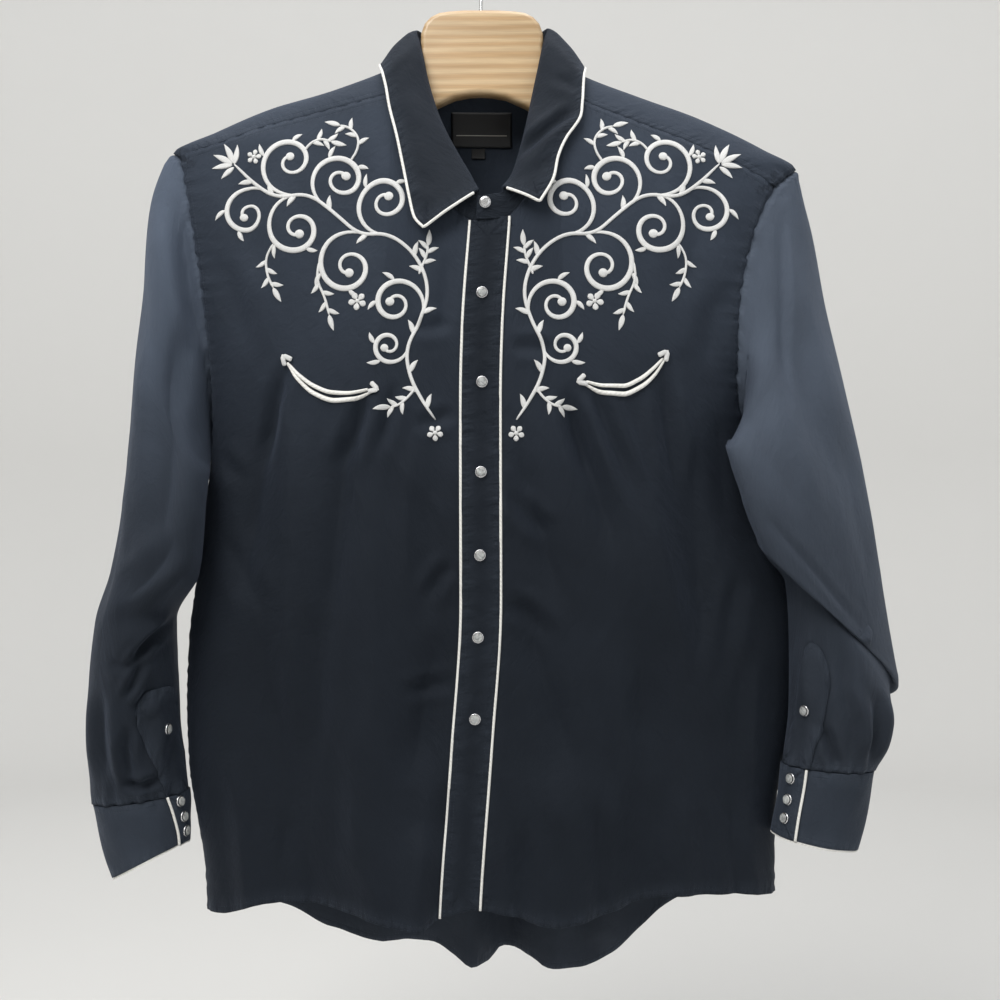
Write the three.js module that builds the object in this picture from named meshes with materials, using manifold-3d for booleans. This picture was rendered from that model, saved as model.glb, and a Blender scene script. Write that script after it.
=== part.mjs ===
// A long-sleeved western snap shirt hanging on a wooden hanger.
// Millimetres, +Z up. The shirt's front faces -Y and the viewer's right is +X.
// The origin is the inner crest of the hanger's hook, where a rod carries it,
// so heights are written as drops below that crest.
// Left and right are the wearer's, so the right front and right sleeve lie at -X.

import * as THREE from "three";
import { mergeVertices } from "three/addons/utils/BufferGeometryUtils.js";
import Module from "manifold-3d";

const wasm = await Module();
wasm.setup();

// Driving sizes
const CLOTH = 1.4; // one layer of shirting with its seam bulk
const DOUBLE = 1.8; // collar, stand and cuffs are two layers and an interlining
const STRIP = 1.0; // plackets and welts laid on a panel
const SEAM = 0.4; // gap between pieces that are sewn together
const LAY = 0.35; // gap under what lies on a panel
const PIPING = 2.0; // diameter of the white corded edge
const PLACKET_WIDTH = 34;
const UNDERLAP = 12; // the right front runs this far past the centre line, under the placket
const ROUND = 0.42; // how full the body's sections are: 0.5 is an ellipse
const RIGHT = -1; // the wearer's right side lies at -X
const LEFT = 1;
const FRONT = -1;
const BACK = 1;

// Small tools for tables, curves and points
const clamp = (t, low = 0, high = 1) => Math.min(Math.max(t, low), high);
const mix = (a, b, t) => a + (b - a) * t;
const ease = (t) => clamp(t) ** 2 * (3 - 2 * clamp(t));
const radians = (degrees) => (degrees * Math.PI) / 180;

// Rows of numbers under a heading of column names.
function table(heading, rows) {
  const names = heading.split(" ");
  return Object.fromEntries(names.map((name, i) => [name, rows.map((row) => row[i])]));
}

// A smooth curve through values at ascending keys that never overshoots them.
function curve(keys, values) {
  const last = keys.length - 1;
  const slope = keys.slice(1).map((k, i) => (values[i + 1] - values[i]) / (k - keys[i]));
  const tangent = keys.map((_, i) => {
    if (i === 0 || i === last) return slope[i === 0 ? 0 : last - 1];
    const [before, after] = [slope[i - 1], slope[i]];
    return before * after <= 0 ? 0 : (2 * before * after) / (before + after);
  });
  return (key) => {
    const k = clamp(key, keys[0], keys[last]);
    let i = 0;
    while (i < last - 1 && k > keys[i + 1]) i += 1;
    const width = keys[i + 1] - keys[i];
    const t = (k - keys[i]) / width;
    return (
      values[i] * (1 + 2 * t) * (1 - t) ** 2 +
      tangent[i] * width * t * (1 - t) ** 2 +
      values[i + 1] * t * t * (3 - 2 * t) +
      tangent[i + 1] * width * t * t * (t - 1)
    );
  };
}

// A path through points of any dimension, run through at an even pace from 0 to 1.
function path(points) {
  const along = [0];
  points.slice(1).forEach((p, i) => along.push(along[i] + Math.hypot(...p.map((c, k) => c - points[i][k]))));
  const total = along[along.length - 1];
  const keys = along.map((a) => a / total);
  const parts = points[0].map((_, k) => curve(keys, points.map((p) => p[k])));
  return (t) => parts.map((part) => part(t));
}

const vec = (x, y, z) => new THREE.Vector3(x, y, z);

// The body of the shirt: level sections that widen from the neck down the shoulders.
// "out" is how far the side seam, or above it the shoulder ridge, lies from the hook's line.
const RIGHT_SIDE = table("drop out", [
  [112, 58], [118, 76], [126, 94], [145, 145], [162, 203], [184, 255], [203, 294],
  [230, 297], [290, 291], [340, 281], [390, 267], [440, 259], [477, 257], [530, 262],
  [611, 272], [669, 279], [726, 281], [784, 279], [842, 270], [880, 264], [960, 260],
]);
const LEFT_SIDE = table("drop out", [
  [112, 58], [120, 79], [129, 97], [150, 152], [171, 210], [201, 272], [219, 301],
  [250, 303], [300, 297], [350, 283], [400, 266], [440, 256], [485, 253], [540, 258],
  [573, 265], [602, 286], [630, 296], [688, 297], [758, 293], [803, 285], [837, 281], [960, 281],
]);
const DEPTH = table("drop front back", [
  [112, 28, 32], [118, 32, 36], [145, 37, 40], [170, 44, 43], [203, 53, 46], [250, 64, 49],
  [280, 70, 51], [340, 77, 53], [420, 82, 55], [550, 83, 56], [700, 80, 56], [900, 75, 54], [1000, 73, 52],
]);
const sideOut = {
  [RIGHT]: curve(RIGHT_SIDE.drop, RIGHT_SIDE.out),
  [LEFT]: curve(LEFT_SIDE.drop, LEFT_SIDE.out),
};
const depthOf = {
  [FRONT]: curve(DEPTH.drop, DEPTH.front),
  [BACK]: curve(DEPTH.drop, DEPTH.back),
};

// The largest soft folds: ridges are positive and troughs negative, "runs" is 1 where
// a fold runs off its lower end at the hem.
const FRONT_FOLDS = table("x drop toX toDrop width height runs", [
  [-192, 395, -222, 640, 17, -8, 0],
  [-168, 400, -178, 760, 22, 5, 0],
  [-118, 425, -142, 690, 15, -7, 0],
  [-92, 480, -96, 930, 24, 6, 1],
  [-38, 640, -62, 800, 15, -7, 0],
  [-205, 640, -150, 940, 26, -6, 1],
  [-48, 820, -56, 940, 24, 8, 1],
  [78, 420, 128, 600, 14, -7, 0],
  [104, 400, 168, 720, 20, 5, 0],
  [28, 470, 78, 640, 12, -5, 0],
  [26, 600, 92, 800, 15, -6, 0],
  [196, 440, 208, 700, 20, -8, 0],
  [150, 640, 140, 940, 26, -7, 1],
  [72, 760, 70, 940, 26, 7, 1],
]);
const BACK_FOLDS = table("x drop toX toDrop width height runs", [
  [22, 520, 20, 1010, 15, 22, 1],
  [-14, 560, -12, 1010, 20, -10, 1],
  [66, 540, 74, 1010, 26, -9, 1],
  [-120, 420, -140, 960, 24, 8, 1],
  [-190, 380, -205, 900, 18, -7, 0],
  [150, 400, 172, 940, 22, 7, 1],
  [210, 420, 222, 880, 18, -7, 0],
]);
const EDGE_FADE = 8; // folds die out towards the side seams and the shoulder ridge

function foldHeight(face, x, drop) {
  const folds = face === FRONT ? FRONT_FOLDS : BACK_FOLDS;
  return folds.x.reduce((sum, fromX, i) => {
    const [runX, runDrop] = [folds.toX[i] - fromX, folds.toDrop[i] - folds.drop[i]];
    const length = Math.hypot(runX, runDrop);
    const [dx, dd] = [x - fromX, drop - folds.drop[i]];
    const t = (dx * runX + dd * runDrop) / length ** 2;
    const off = (dx * runDrop - dd * runX) / length;
    const taper = ease(t / 0.35) * (folds.runs[i] ? 1 : ease((1 - t) / 0.35));
    return sum + folds.height[i] * taper * Math.exp(-((off / folds.width[i]) ** 2));
  }, 0);
}

const slopeOf = (f, at) => f(at + 0.5) - f(at - 0.5);

// A point of the body's surface and its outward direction, "out" mm off the cloth's face.
function bodySpot(face, x, drop) {
  const wide = sideOut[x < 0 ? RIGHT : LEFT];
  const deep = depthOf[face];
  const [side, depth] = [wide(drop), deep(drop)];
  const u = clamp(Math.abs(x) / side);
  const inward = Math.max(1 - u * u, 1e-7);
  const y = face * depth * inward ** ROUND;
  const normal = vec(
    (2 * u * Math.sign(x || 1)) / side,
    ((face / ROUND) * inward ** (1 - ROUND)) / depth,
    (2 * u * u * slopeOf(wide, drop)) / side + ((inward / ROUND) * slopeOf(deep, drop)) / depth,
  ).normalize();
  const height = foldHeight(face, x, drop) * (1 - u ** EDGE_FADE);
  const onShell = vec(u >= 1 ? Math.sign(x) * side : x, y, -drop).addScaledVector(normal, height);
  return { point: onShell, normal };
}
const bodyPoint = (face, x, drop, out = 0) => {
  const { point, normal } = bodySpot(face, x, drop);
  return point.addScaledVector(normal, out);
};

// The height of the shoulder ridge at a distance from the hook's line.
function ridgeDrop(x) {
  const wide = sideOut[x < 0 ? RIGHT : LEFT];
  let [low, high] = [112, x < 0 ? 203 : 219];
  for (let i = 0; i < 40; i += 1) {
    const middle = (low + high) / 2;
    if (wide(middle) < Math.abs(x)) low = middle;
    else high = middle;
  }
  return (low + high) / 2;
}

// Seam lines on the body
const CENTRE = table("drop x", [
  [281, 8.7], [380, 2], [440, 0.6], [625, 1], [762, -7.5], [900, -17.4], [960, -20],
]);
const centreX = curve(CENTRE.drop, CENTRE.x);
const ARMHOLE = {
  [RIGHT]: table("drop front back", [
    [203, 294, 294], [209, 287, 291], [240, 279, 284], [290, 270, 274], [340, 262, 266],
    [390, 258, 260], [440, 256.5, 257.5], [477, 257, 257],
  ]),
  [LEFT]: table("drop front back", [
    [219, 301, 301], [240, 277, 292], [290, 254, 278], [340, 243, 263], [371, 240, 256],
    [420, 241, 250], [460, 247, 250], [485, 253, 253],
  ]),
};
const armholeX = (side, face, drop) => {
  const rows = ARMHOLE[side];
  return side * curve(rows.drop, face === FRONT ? rows.front : rows.back)(drop);
};
const armholeEnds = (side) => [ARMHOLE[side].drop[0], ARMHOLE[side].drop.at(-1)];
const SHOULDER_SEAM = {
  [RIGHT]: table("out drop", [[83, 154], [141, 170], [198, 184], [249, 200], [287, 209]]),
  [LEFT]: table("out drop", [[85, 157], [101, 163.4], [150, 183], [206, 205.6], [244, 222.6], [277, 240]]),
};
const NECKLINE = {
  [RIGHT]: table("x drop", [[-8, 280.5], [-32, 262], [-52, 230], [-70, 190], [-83, 154]]),
  [LEFT]: table("x drop", [[26, 277], [42, 260], [62, 228], [76, 190], [85, 157]]),
};
const NECK_TOP = { [RIGHT]: 79, [LEFT]: 79 }; // where the neckline crosses the shoulder ridge
const FRONT_HEM = table("x drop", [
  [-260, 923], [-242, 921], [-199, 907], [-165, 905], [-118, 910], [-77, 920], [-54, 922.5], [-35, 912],
  [-6, 905], [27, 910.6], [68, 918.7], [109, 914], [155, 901], [183, 897], [222, 898.5], [282, 907],
]);
const BACK_HEM = table("x drop", [
  [-262, 924], [-225, 926], [-190, 937], [-151, 961], [-111, 972], [-52, 973], [-26, 986], [-8, 997],
  [9, 994], [20, 984], [32, 984], [48, 988], [68, 998], [98, 998], [128, 986], [157, 961],
  [197, 929], [240, 912], [283, 908],
]);
const YOKE_SEAM = table("out drop", [[0, 338], [40, 314], [100, 292], [180, 276], [250, 268], [290, 265]]);
const frontHem = curve(FRONT_HEM.x, FRONT_HEM.drop);
const backHem = curve(BACK_HEM.x, BACK_HEM.drop);
const yokeSeam = curve(YOKE_SEAM.out, YOKE_SEAM.drop);
const shoulderSeam = (x) => {
  const rows = SHOULDER_SEAM[x < 0 ? RIGHT : LEFT];
  return curve(rows.out, rows.drop)(Math.abs(x));
};
const BACK_NECK_DROP = 131;
const backNeck = (x) => {
  const end = ridgeDrop(NECK_TOP[RIGHT] * Math.sign(x || 1));
  return BACK_NECK_DROP - (BACK_NECK_DROP - end) * (x / NECK_TOP[RIGHT]) ** 2;
};

// Grids: a grid holds points of a surface and the outward direction at each. Panels are walls
// cut from a grid, and what lies on a panel is made from the panel's own points, moved out.
function makeGrid(columns, rows, place, { ring = false, facing = null } = {}) {
  const wide = ring ? columns : columns + 1;
  const spots = Array.from({ length: wide }, (_, i) => Array.from({ length: rows + 1 }, (_, j) => place(i, j)));
  const grid = { columns, rows, ring, wide, spots };
  if (facing) turnOut(grid, facing);
  return grid;
}

// Gives every point of a grid the mean direction of the faces round it, turned to "facing".
function turnOut(grid, facing) {
  const { columns, rows, wide, spots } = grid;
  const sums = spots.map((column) => column.map(() => vec(0, 0, 0)));
  for (let i = 0; i < columns; i += 1) {
    for (let j = 0; j < rows; j += 1) {
      const next = (i + 1) % wide;
      const corners = [[i, j], [next, j], [next, j + 1], [i, j + 1]];
      const [a, b, c, d] = corners.map(([ci, cj]) => spots[ci][cj].point);
      const across = vec(0, 0, 0).crossVectors(c.clone().sub(a), d.clone().sub(b)).normalize();
      corners.forEach(([ci, cj]) => sums[ci][cj].add(across));
    }
  }
  const middle = [Math.floor(wide / 2), Math.floor(rows / 2)];
  const sign = Math.sign(sums[middle[0]][middle[1]].dot(facing(spots[middle[0]][middle[1]].point))) || 1;
  spots.forEach((column, i) => column.forEach((spot, j) => {
    if (!spot.normal) spot.normal = sums[i][j].normalize().multiplyScalar(sign);
  }));
}

const lifted = ({ point, normal }, out) => point.clone().addScaledVector(normal, out);

// A wall between two offsets of a grid, closed along its edges.
function wall(grid, high, low, range = {}) {
  const { from = 0, to = grid.columns, top = 0, bottom = grid.rows, skip = () => false } = range;
  const { rows, wide, spots } = grid;
  const positions = [high, low].flatMap((out) => spots.flat().flatMap((spot) => lifted(spot, out).toArray()));
  const count = wide * (rows + 1);
  const at = (i, j) => (i % wide) * (rows + 1) + j;
  const triangles = [];
  const edges = new Map();
  for (let i = from; i < to; i += 1) {
    for (let j = top; j < bottom; j += 1) {
      if (skip(i, j)) continue;
      const corners = [at(i, j), at(i + 1, j), at(i + 1, j + 1), at(i, j + 1)];
      const [a, b, c, d] = corners;
      triangles.push([a, b, c], [a, c, d]);
      triangles.push([c + count, b + count, a + count], [d + count, c + count, a + count]);
      corners.forEach((start, k) => {
        const end = corners[(k + 1) % 4];
        if (edges.has(`${end} ${start}`)) edges.delete(`${end} ${start}`);
        else edges.set(`${start} ${end}`, [start, end]);
      });
    }
  }
  edges.forEach(([start, end]) => {
    triangles.push([end, start, start + count], [end, start + count, end + count]);
  });
  return faceOut(positions, triangles.flat());
}

// A geometry of only the points in use, with its triangles facing out.
function faceOut(positions, indices) {
  const used = new Map();
  const kept = [];
  const index = indices.map((v) => {
    if (!used.has(v)) {
      used.set(v, kept.length / 3);
      kept.push(...positions.slice(3 * v, 3 * v + 3));
    }
    return used.get(v);
  });
  const corner = (i) => vec(kept[3 * i], kept[3 * i + 1], kept[3 * i + 2]);
  let volume = 0;
  for (let i = 0; i < index.length; i += 3) {
    volume += corner(index[i]).dot(corner(index[i + 1]).cross(corner(index[i + 2])));
  }
  if (volume < 0) index.reverse();
  const geometry = new THREE.BufferGeometry();
  geometry.setAttribute("position", new THREE.Float32BufferAttribute(kept, 3));
  geometry.setIndex(index);
  geometry.computeVertexNormals();
  return geometry;
}

// A cord of round section through points, mitred at each and closed by flat ends.
function cord(points, diameter, sides = 6) {
  const last = points.length - 1;
  const heading = (i) => points[Math.min(i + 1, last)].clone().sub(points[Math.max(i - 1, 0)]).normalize();
  const upright = Math.abs(heading(0).y) > 0.9 ? vec(1, 0, 0) : vec(0, 1, 0);
  let across = vec(0, 0, 0).crossVectors(heading(0), upright);
  const positions = [];
  points.forEach((point, i) => {
    const along = heading(i);
    across.addScaledVector(along, -across.dot(along)).normalize();
    const up = vec(0, 0, 0).crossVectors(along, across);
    for (let k = 0; k < sides; k += 1) {
      const angle = (2 * Math.PI * k) / sides;
      const spot = point.clone().addScaledVector(across, (diameter / 2) * Math.cos(angle));
      positions.push(...spot.addScaledVector(up, (diameter / 2) * Math.sin(angle)).toArray());
    }
  });
  const triangles = [];
  for (let i = 0; i < last; i += 1) {
    for (let k = 0; k < sides; k += 1) {
      const [a, b] = [i * sides + k, i * sides + ((k + 1) % sides)];
      triangles.push(a, b, b + sides, a, b + sides, a + sides);
    }
  }
  for (let k = 1; k < sides - 1; k += 1) {
    const end = last * sides;
    triangles.push(0, k + 1, k, end, end + k, end + k + 1);
  }
  return faceOut(positions, triangles);
}

// The spot on a grid at fractions of a column and a row.
function between(grid, i, j) {
  const { wide, rows, spots } = grid;
  const [i0, j0] = [Math.floor(i), Math.min(Math.floor(j), rows - 1)];
  const [s, t] = [i - i0, j - j0];
  const corner = (ci, cj) => spots[ci % wide][cj];
  const blend = (key) => {
    const near = corner(i0, j0)[key].clone().lerp(corner(i0, j0 + 1)[key], t);
    return s === 0 ? near : near.lerp(corner(i0 + 1, j0)[key].clone().lerp(corner(i0 + 1, j0 + 1)[key], t), s);
  };
  return { point: blend("point"), normal: blend("normal").normalize() };
}

// The face of a front grid under (x, drop), seen from the front.
function faceUnder(grid, x, drop) {
  const { columns, rows, spots } = grid;
  const inside = (a, b, c) => {
    const area = (p, q, rx, rz) => (q.x - p.x) * (rz - p.z) - (q.z - p.z) * (rx - p.x);
    const whole = area(a, b, c.x, c.z);
    const shares = [area(b, c, x, -drop) / whole, area(c, a, x, -drop) / whole, area(a, b, x, -drop) / whole];
    if (!shares.every((share) => share > -1e-6)) return null;
    const y = shares[0] * a.y + shares[1] * b.y + shares[2] * c.y;
    const normal = vec(0, 0, 0).crossVectors(b.clone().sub(a), c.clone().sub(a)).normalize();
    return { point: vec(x, y, -drop), normal: normal.y > 0 ? normal.negate() : normal };
  };
  for (let i = 0; i < columns; i += 1) {
    for (let j = 0; j < rows; j += 1) {
      const corners = [spots[i][j], spots[i + 1][j], spots[i + 1][j + 1], spots[i][j + 1]];
      const [a, b, c, d] = corners.map((corner) => corner.point);
      const hit = inside(a, b, c) || inside(a, c, d);
      if (hit) return hit;
    }
  }
  throw new Error(`nothing lies under ${x}, ${drop}`);
}

// A point "out" mm in front of everything within "reach" of (x, drop).
function clearOf(grid, x, drop, reach, out) {
  const steps = [-reach, 0, reach];
  const ys = steps.flatMap((dx) => steps.map((dd) => faceUnder(grid, x + dx, drop + dd).point.y));
  return vec(x, Math.min(...ys) - out, -drop);
}

// Fabrics and finishes
const finish = (color, roughness, metalness = 0) =>
  new THREE.MeshStandardMaterial({ color, roughness, metalness, side: THREE.DoubleSide });
const black = finish(0x1b1e24, 0.85);
const blackBand = finish(0x17191e, 0.8);
const white = finish(0xe8e6e0, 0.6);
const pearl = finish(0xc9ccd0, 0.25, 0.2);
const wood = finish(0xdcb880, 0.5);
const steel = finish(0xc8c8c8, 0.25, 1);
const satin = finish(0x0d0e10, 0.35);

const shirt = new THREE.Group();
function add(name, geometry, material) {
  const mesh = new THREE.Mesh(geometry, material);
  mesh.name = name;
  shirt.add(mesh);
}
const sideName = { [RIGHT]: "right", [LEFT]: "left" };

// Columns and rows that neighbouring panels share along their seams
const SHOULDER_COLUMNS = 8;
const NECK_COLUMNS = 8;
const FRONT_ROWS = 20;
const FRONT_ARMHOLE_ROWS = 7;
const FRONT_NECK_COLUMNS = 5;
const YOKE_FRONT_ROWS = 3;
const YOKE_BACK_ROWS = 5;
const BACK_ROWS = 18;
const BACK_ARMHOLE_ROWS = 5;

// Fronts: each is one panel from the centre to the armhole and side seam. Its first column
// is the part under the placket and its second begins at the placket's edge.
function frontGrid(side) {
  const patchColumns = FRONT_NECK_COLUMNS + SHOULDER_COLUMNS;
  const neckRows = NECKLINE[side];
  const neck = path(neckRows.x.map((x, i) => [x, neckRows.drop[i]]));
  const seamOut = SHOULDER_SEAM[side].out;
  const [, under] = armholeEnds(side);
  const shoulder = (s) => {
    const x = side * mix(seamOut[0], seamOut.at(-1), s);
    return [x, shoulderSeam(x) + SEAM];
  };
  const neckShare = FRONT_NECK_COLUMNS / patchColumns;
  const top = (u) => (u < neckShare ? neck(u / neckShare) : shoulder((u - neckShare) / (1 - neckShare)));
  const armholeShare = FRONT_ARMHOLE_ROWS / FRONT_ROWS;
  const outer = (v) => {
    if (v <= armholeShare) {
      const drop = mix(shoulder(1)[1], under, v / armholeShare);
      return [armholeX(side, FRONT, drop), drop];
    }
    const drop = mix(under, frontHem(side * sideOut[side](915)), (v - armholeShare) / (1 - armholeShare));
    return [side * sideOut[side](drop), drop];
  };
  const line = (offset, start) => (v) => {
    const end = frontHem(centreX(905) + offset);
    const drop = mix(start, end, v);
    return [centreX(drop) + offset, drop];
  };
  const inner = line((side * PLACKET_WIDTH) / 2, neck(0)[1]);
  const underPlacket = line(UNDERLAP + (side === LEFT ? SEAM : 0), side === LEFT ? 280 : 281);
  const bottom = (w) => {
    const x = mix(inner(1)[0], outer(1)[0], w);
    return [x, frontHem(x)];
  };
  const patch = (u, v) => {
    const w = mix(u, Math.sin((u * Math.PI) / 2), ease(v * 2));
    const [t, b, l, r] = [top(u), bottom(w), inner(v), outer(v)];
    const [tl, tr, bl, br] = [top(0), top(1), bottom(0), bottom(1)];
    return [0, 1].map(
      (k) =>
        (1 - v) * t[k] + v * b[k] + (1 - w) * l[k] + w * r[k] -
        ((1 - v) * ((1 - w) * tl[k] + w * tr[k]) + v * ((1 - w) * bl[k] + w * br[k])),
    );
  };
  return makeGrid(patchColumns + 1, FRONT_ROWS, (i, j) => {
    const v = j / FRONT_ROWS;
    const [x, drop] = i === 0 ? underPlacket(v) : patch((i - 1) / patchColumns, v);
    const { point, normal } = bodySpot(FRONT, x, drop);
    return { point: point.add(vec(0, -SEAM / 2, 0)), normal };
  });
}
const fronts = { [RIGHT]: frontGrid(RIGHT), [LEFT]: frontGrid(LEFT) };
add("front_right", wall(fronts[RIGHT], 0, -CLOTH), black);
add("front_left", wall(fronts[LEFT], 0, -CLOTH), black);

// Yoke: over both shoulders, from the forward seams to the pointed seam on the back.
const yokeEnd = (side) => yokeSeam(Math.abs(armholeX(side, BACK, 266)));
function yokeSpot(i, j) {
  const side = i <= SHOULDER_COLUMNS + NECK_COLUMNS / 2 ? RIGHT : LEFT;
  const face = j < YOKE_FRONT_ROWS ? FRONT : BACK;
  const t = face === FRONT ? 1 - j / YOKE_FRONT_ROWS : (j - YOKE_FRONT_ROWS) / YOKE_BACK_ROWS;
  const steps = side === RIGHT ? SHOULDER_COLUMNS - i : i - SHOULDER_COLUMNS - NECK_COLUMNS;
  const s = steps / SHOULDER_COLUMNS;
  if (s < 0) {
    const x = mix(-NECK_TOP[RIGHT], NECK_TOP[LEFT], (i - SHOULDER_COLUMNS) / NECK_COLUMNS);
    return { face: BACK, x, drop: mix(backNeck(x), yokeSeam(Math.abs(x)), t ** 1.7) };
  }
  const [tip] = armholeEnds(side);
  const seamOut = SHOULDER_SEAM[side].out;
  const reach = t ** (face === FRONT ? 1.7 : 2.2);
  const armDrop = mix(tip, face === FRONT ? shoulderSeam(side * seamOut.at(-1)) : yokeEnd(side), reach);
  const arm = t === 0 ? sideOut[side](tip) : Math.abs(armholeX(side, face, armDrop));
  const neck = face === FRONT ? mix(NECK_TOP[side], seamOut[0], t) : NECK_TOP[side];
  const x = mix(neck, arm, s);
  const ridge = ridgeDrop(side * mix(NECK_TOP[side], sideOut[side](tip), s));
  const seamX = mix(face === FRONT ? seamOut[0] : neck, face === FRONT ? seamOut.at(-1) : yokeArm(side), s);
  const seam = face === FRONT ? shoulderSeam(side * seamX) : yokeSeam(seamX);
  return { face, x: side * x, drop: t === 0 ? ridge : mix(ridge, s === 1 ? armEnd(side, face) : seam, reach) };
}
const yokeArm = (side) => Math.abs(armholeX(side, BACK, yokeEnd(side)));
const armEnd = (side, face) =>
  face === FRONT ? shoulderSeam(side * SHOULDER_SEAM[side].out.at(-1)) : yokeEnd(side);
const yoke = makeGrid(2 * SHOULDER_COLUMNS + NECK_COLUMNS, YOKE_FRONT_ROWS + YOKE_BACK_ROWS, (i, j) => {
  const { face, x, drop } = yokeSpot(i, j);
  return bodySpot(face, x, drop);
});
const overNeck = (i, j) => j < YOKE_FRONT_ROWS && i >= SHOULDER_COLUMNS && i < SHOULDER_COLUMNS + NECK_COLUMNS;
add("yoke", wall(yoke, 0, -CLOTH, { skip: overNeck }), black);

// Back: one panel from the yoke seam to the long shirt-tail hem.
const backGrid = makeGrid(yoke.columns, BACK_ROWS, (i, j) => {
  const v = j / BACK_ROWS;
  const seam = yokeSpot(i, yoke.rows);
  const side = seam.x < 0 ? RIGHT : LEFT;
  const [, under] = armholeEnds(side);
  const armholeShare = BACK_ARMHOLE_ROWS / BACK_ROWS;
  const start = yokeEnd(side) + SEAM;
  const edgeDrop = v <= armholeShare
    ? mix(start, under, v / armholeShare)
    : mix(under, backHem(side * sideOut[side](920)), (v - armholeShare) / (1 - armholeShare));
  const edgeX = v <= armholeShare ? Math.abs(armholeX(side, BACK, edgeDrop)) : sideOut[side](edgeDrop);
  const fraction = Math.abs(seam.x) / yokeArm(side);
  const share = mix(fraction, Math.sin((fraction * Math.PI) / 2), ease(v * 2));
  const x = side * share * edgeX;
  const toEdge = share === 1 ? 1 : share ** 6 * clamp(v * 5);
  const drop = mix(mix(seam.drop + SEAM, backHem(x), v), edgeDrop, toEdge);
  const { point, normal } = bodySpot(BACK, x, drop);
  return { point: point.add(vec(0, SEAM / 2, 0)), normal };
});
add("back", wall(backGrid, 0, -CLOTH), black);

// Placket: the strip down the front, from the fronts' own points moved out.
const placketGrid = makeGrid(2, FRONT_ROWS, (i, j) => {
  const spot = [fronts[LEFT].spots[1], fronts[RIGHT].spots[0], fronts[RIGHT].spots[1]][i][j];
  return { point: spot.point.clone(), normal: spot.normal.clone() };
});
add("placket", wall(placketGrid, LAY + STRIP, LAY), blackBand);
[RIGHT, LEFT].forEach((side) => {
  const edge = fronts[side].spots[1];
  const beside = side * (PIPING / 2 + 0.3);
  const points = edge.map((spot) => lifted(spot, LAY + 0.25 + PIPING / 2).add(vec(beside, 0, 0)));
  add(`placket_piping_${sideName[side]}`, cord(points, PIPING), white);
});

// Sleeves: rings from the armhole to the cuff. "o" is a ring's outermost point and "i" its
// innermost, seen from the front. "deep" is half its depth, "y" its middle, "turn" how far
// its front leans to the body, "lift" how much its front rides higher than its back,
// and "share" how much of the ring's shape has taken over from the armhole's.
const SLEEVE = {
  [RIGHT]: table("ox odrop ix idrop deep y turn lift share", [
    [-301, 224, -256, 482, 42, -3, 0.1, 0, 0.35],
    [-308.5, 262, -257.5, 486, 46, -5, 0.15, 0, 0.75],
    [-316, 318, -260, 493, 52, -8, 0.2, 0, 1],
    [-325, 388, -262, 501, 58, -10, 0.25, 0, 1],
    [-335, 463, -263.5, 516, 66, -12, 0.25, 0, 1],
    [-346.7, 539, -266.5, 553, 72, -14, 0.25, 0, 1],
    [-356, 600, -275, 597, 72, -16, 0.2, 4, 1],
    [-362.7, 652, -286.5, 644, 66, -18, 0.15, 6, 1],
    [-367.5, 703, -287, 690, 58, -20, 0.1, 0, 1],
    [-369, 757, -285, 742, 50, -20, 0, 0, 1],
    [-366.5, 800, -280, 784, 42, -20, 0, 0, 1],
    [-365.6, 819.3, -277.9, 807, 38, -20, 0, 0, 1],
  ]),
  [LEFT]: table("ox odrop ix idrop deep y turn lift share", [
    [307, 246, 264, 486, 42, -4, 0.1, 0, 0.35],
    [316, 288, 252, 490, 48, -11, 0.55, 0, 0.75],
    [330, 350, 239, 496, 56, -13, 0.72, 0, 1],
    [349, 423, 235.5, 502, 62, -17, 0.76, 0, 1],
    [365, 498, 237, 515, 66, -20, 0.78, 0, 1],
    [377.4, 581.6, 242, 530, 66, -22, 0.78, 0, 1],
    [387.8, 660, 250, 548, 63, -24, 0.76, -4, 1],
    [393.5, 711, 261, 571, 61, -26, 0.72, -10, 1],
    [386, 694, 263, 572, 42, -18, 0.52, 32, 1],
    [385.9, 722, 290, 603, 46, -20, 0.2, 6, 1],
    [386.5, 740, 293, 664, 44, -24, 0, 0, 1],
    [381, 762, 290, 724, 42, -29, 0, 0, 1],
    [367.5, 784.5, 283.5, 779, 38, -34, 0, 0, 1],
  ]),
};
const RING = FRONT_ARMHOLE_ROWS + YOKE_FRONT_ROWS + YOKE_BACK_ROWS + BACK_ARMHOLE_ROWS;

// The armhole's own points, from the underarm up the front, over the shoulder and down the back.
function armholeLoop(side) {
  const yokeColumn = yoke.spots[side === RIGHT ? 0 : yoke.wide - 1];
  const backColumn = backGrid.spots[side === RIGHT ? 0 : backGrid.wide - 1];
  const frontPart = fronts[side].spots.at(-1).slice(1, FRONT_ARMHOLE_ROWS + 1).reverse();
  return [...frontPart, ...yokeColumn, ...backColumn.slice(1, BACK_ARMHOLE_ROWS)];
}

const ringSpot = (rows, k, angle) => {
  const middle = vec((rows.ox[k] + rows.ix[k]) / 2, rows.y[k], -(rows.odrop[k] + rows.idrop[k]) / 2);
  const reach = vec((rows.ox[k] - rows.ix[k]) / 2, 0, -(rows.odrop[k] - rows.idrop[k]) / 2);
  const turn = rows.turn[k];
  const toward = Math.sqrt(1 - turn * turn) * Math.cos(angle) + turn * Math.sin(angle);
  const lift = -rows.lift[k] * Math.sin(angle);
  return middle.addScaledVector(reach, toward).add(vec(0, rows.deep[k] * Math.sin(angle), lift));
};

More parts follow.
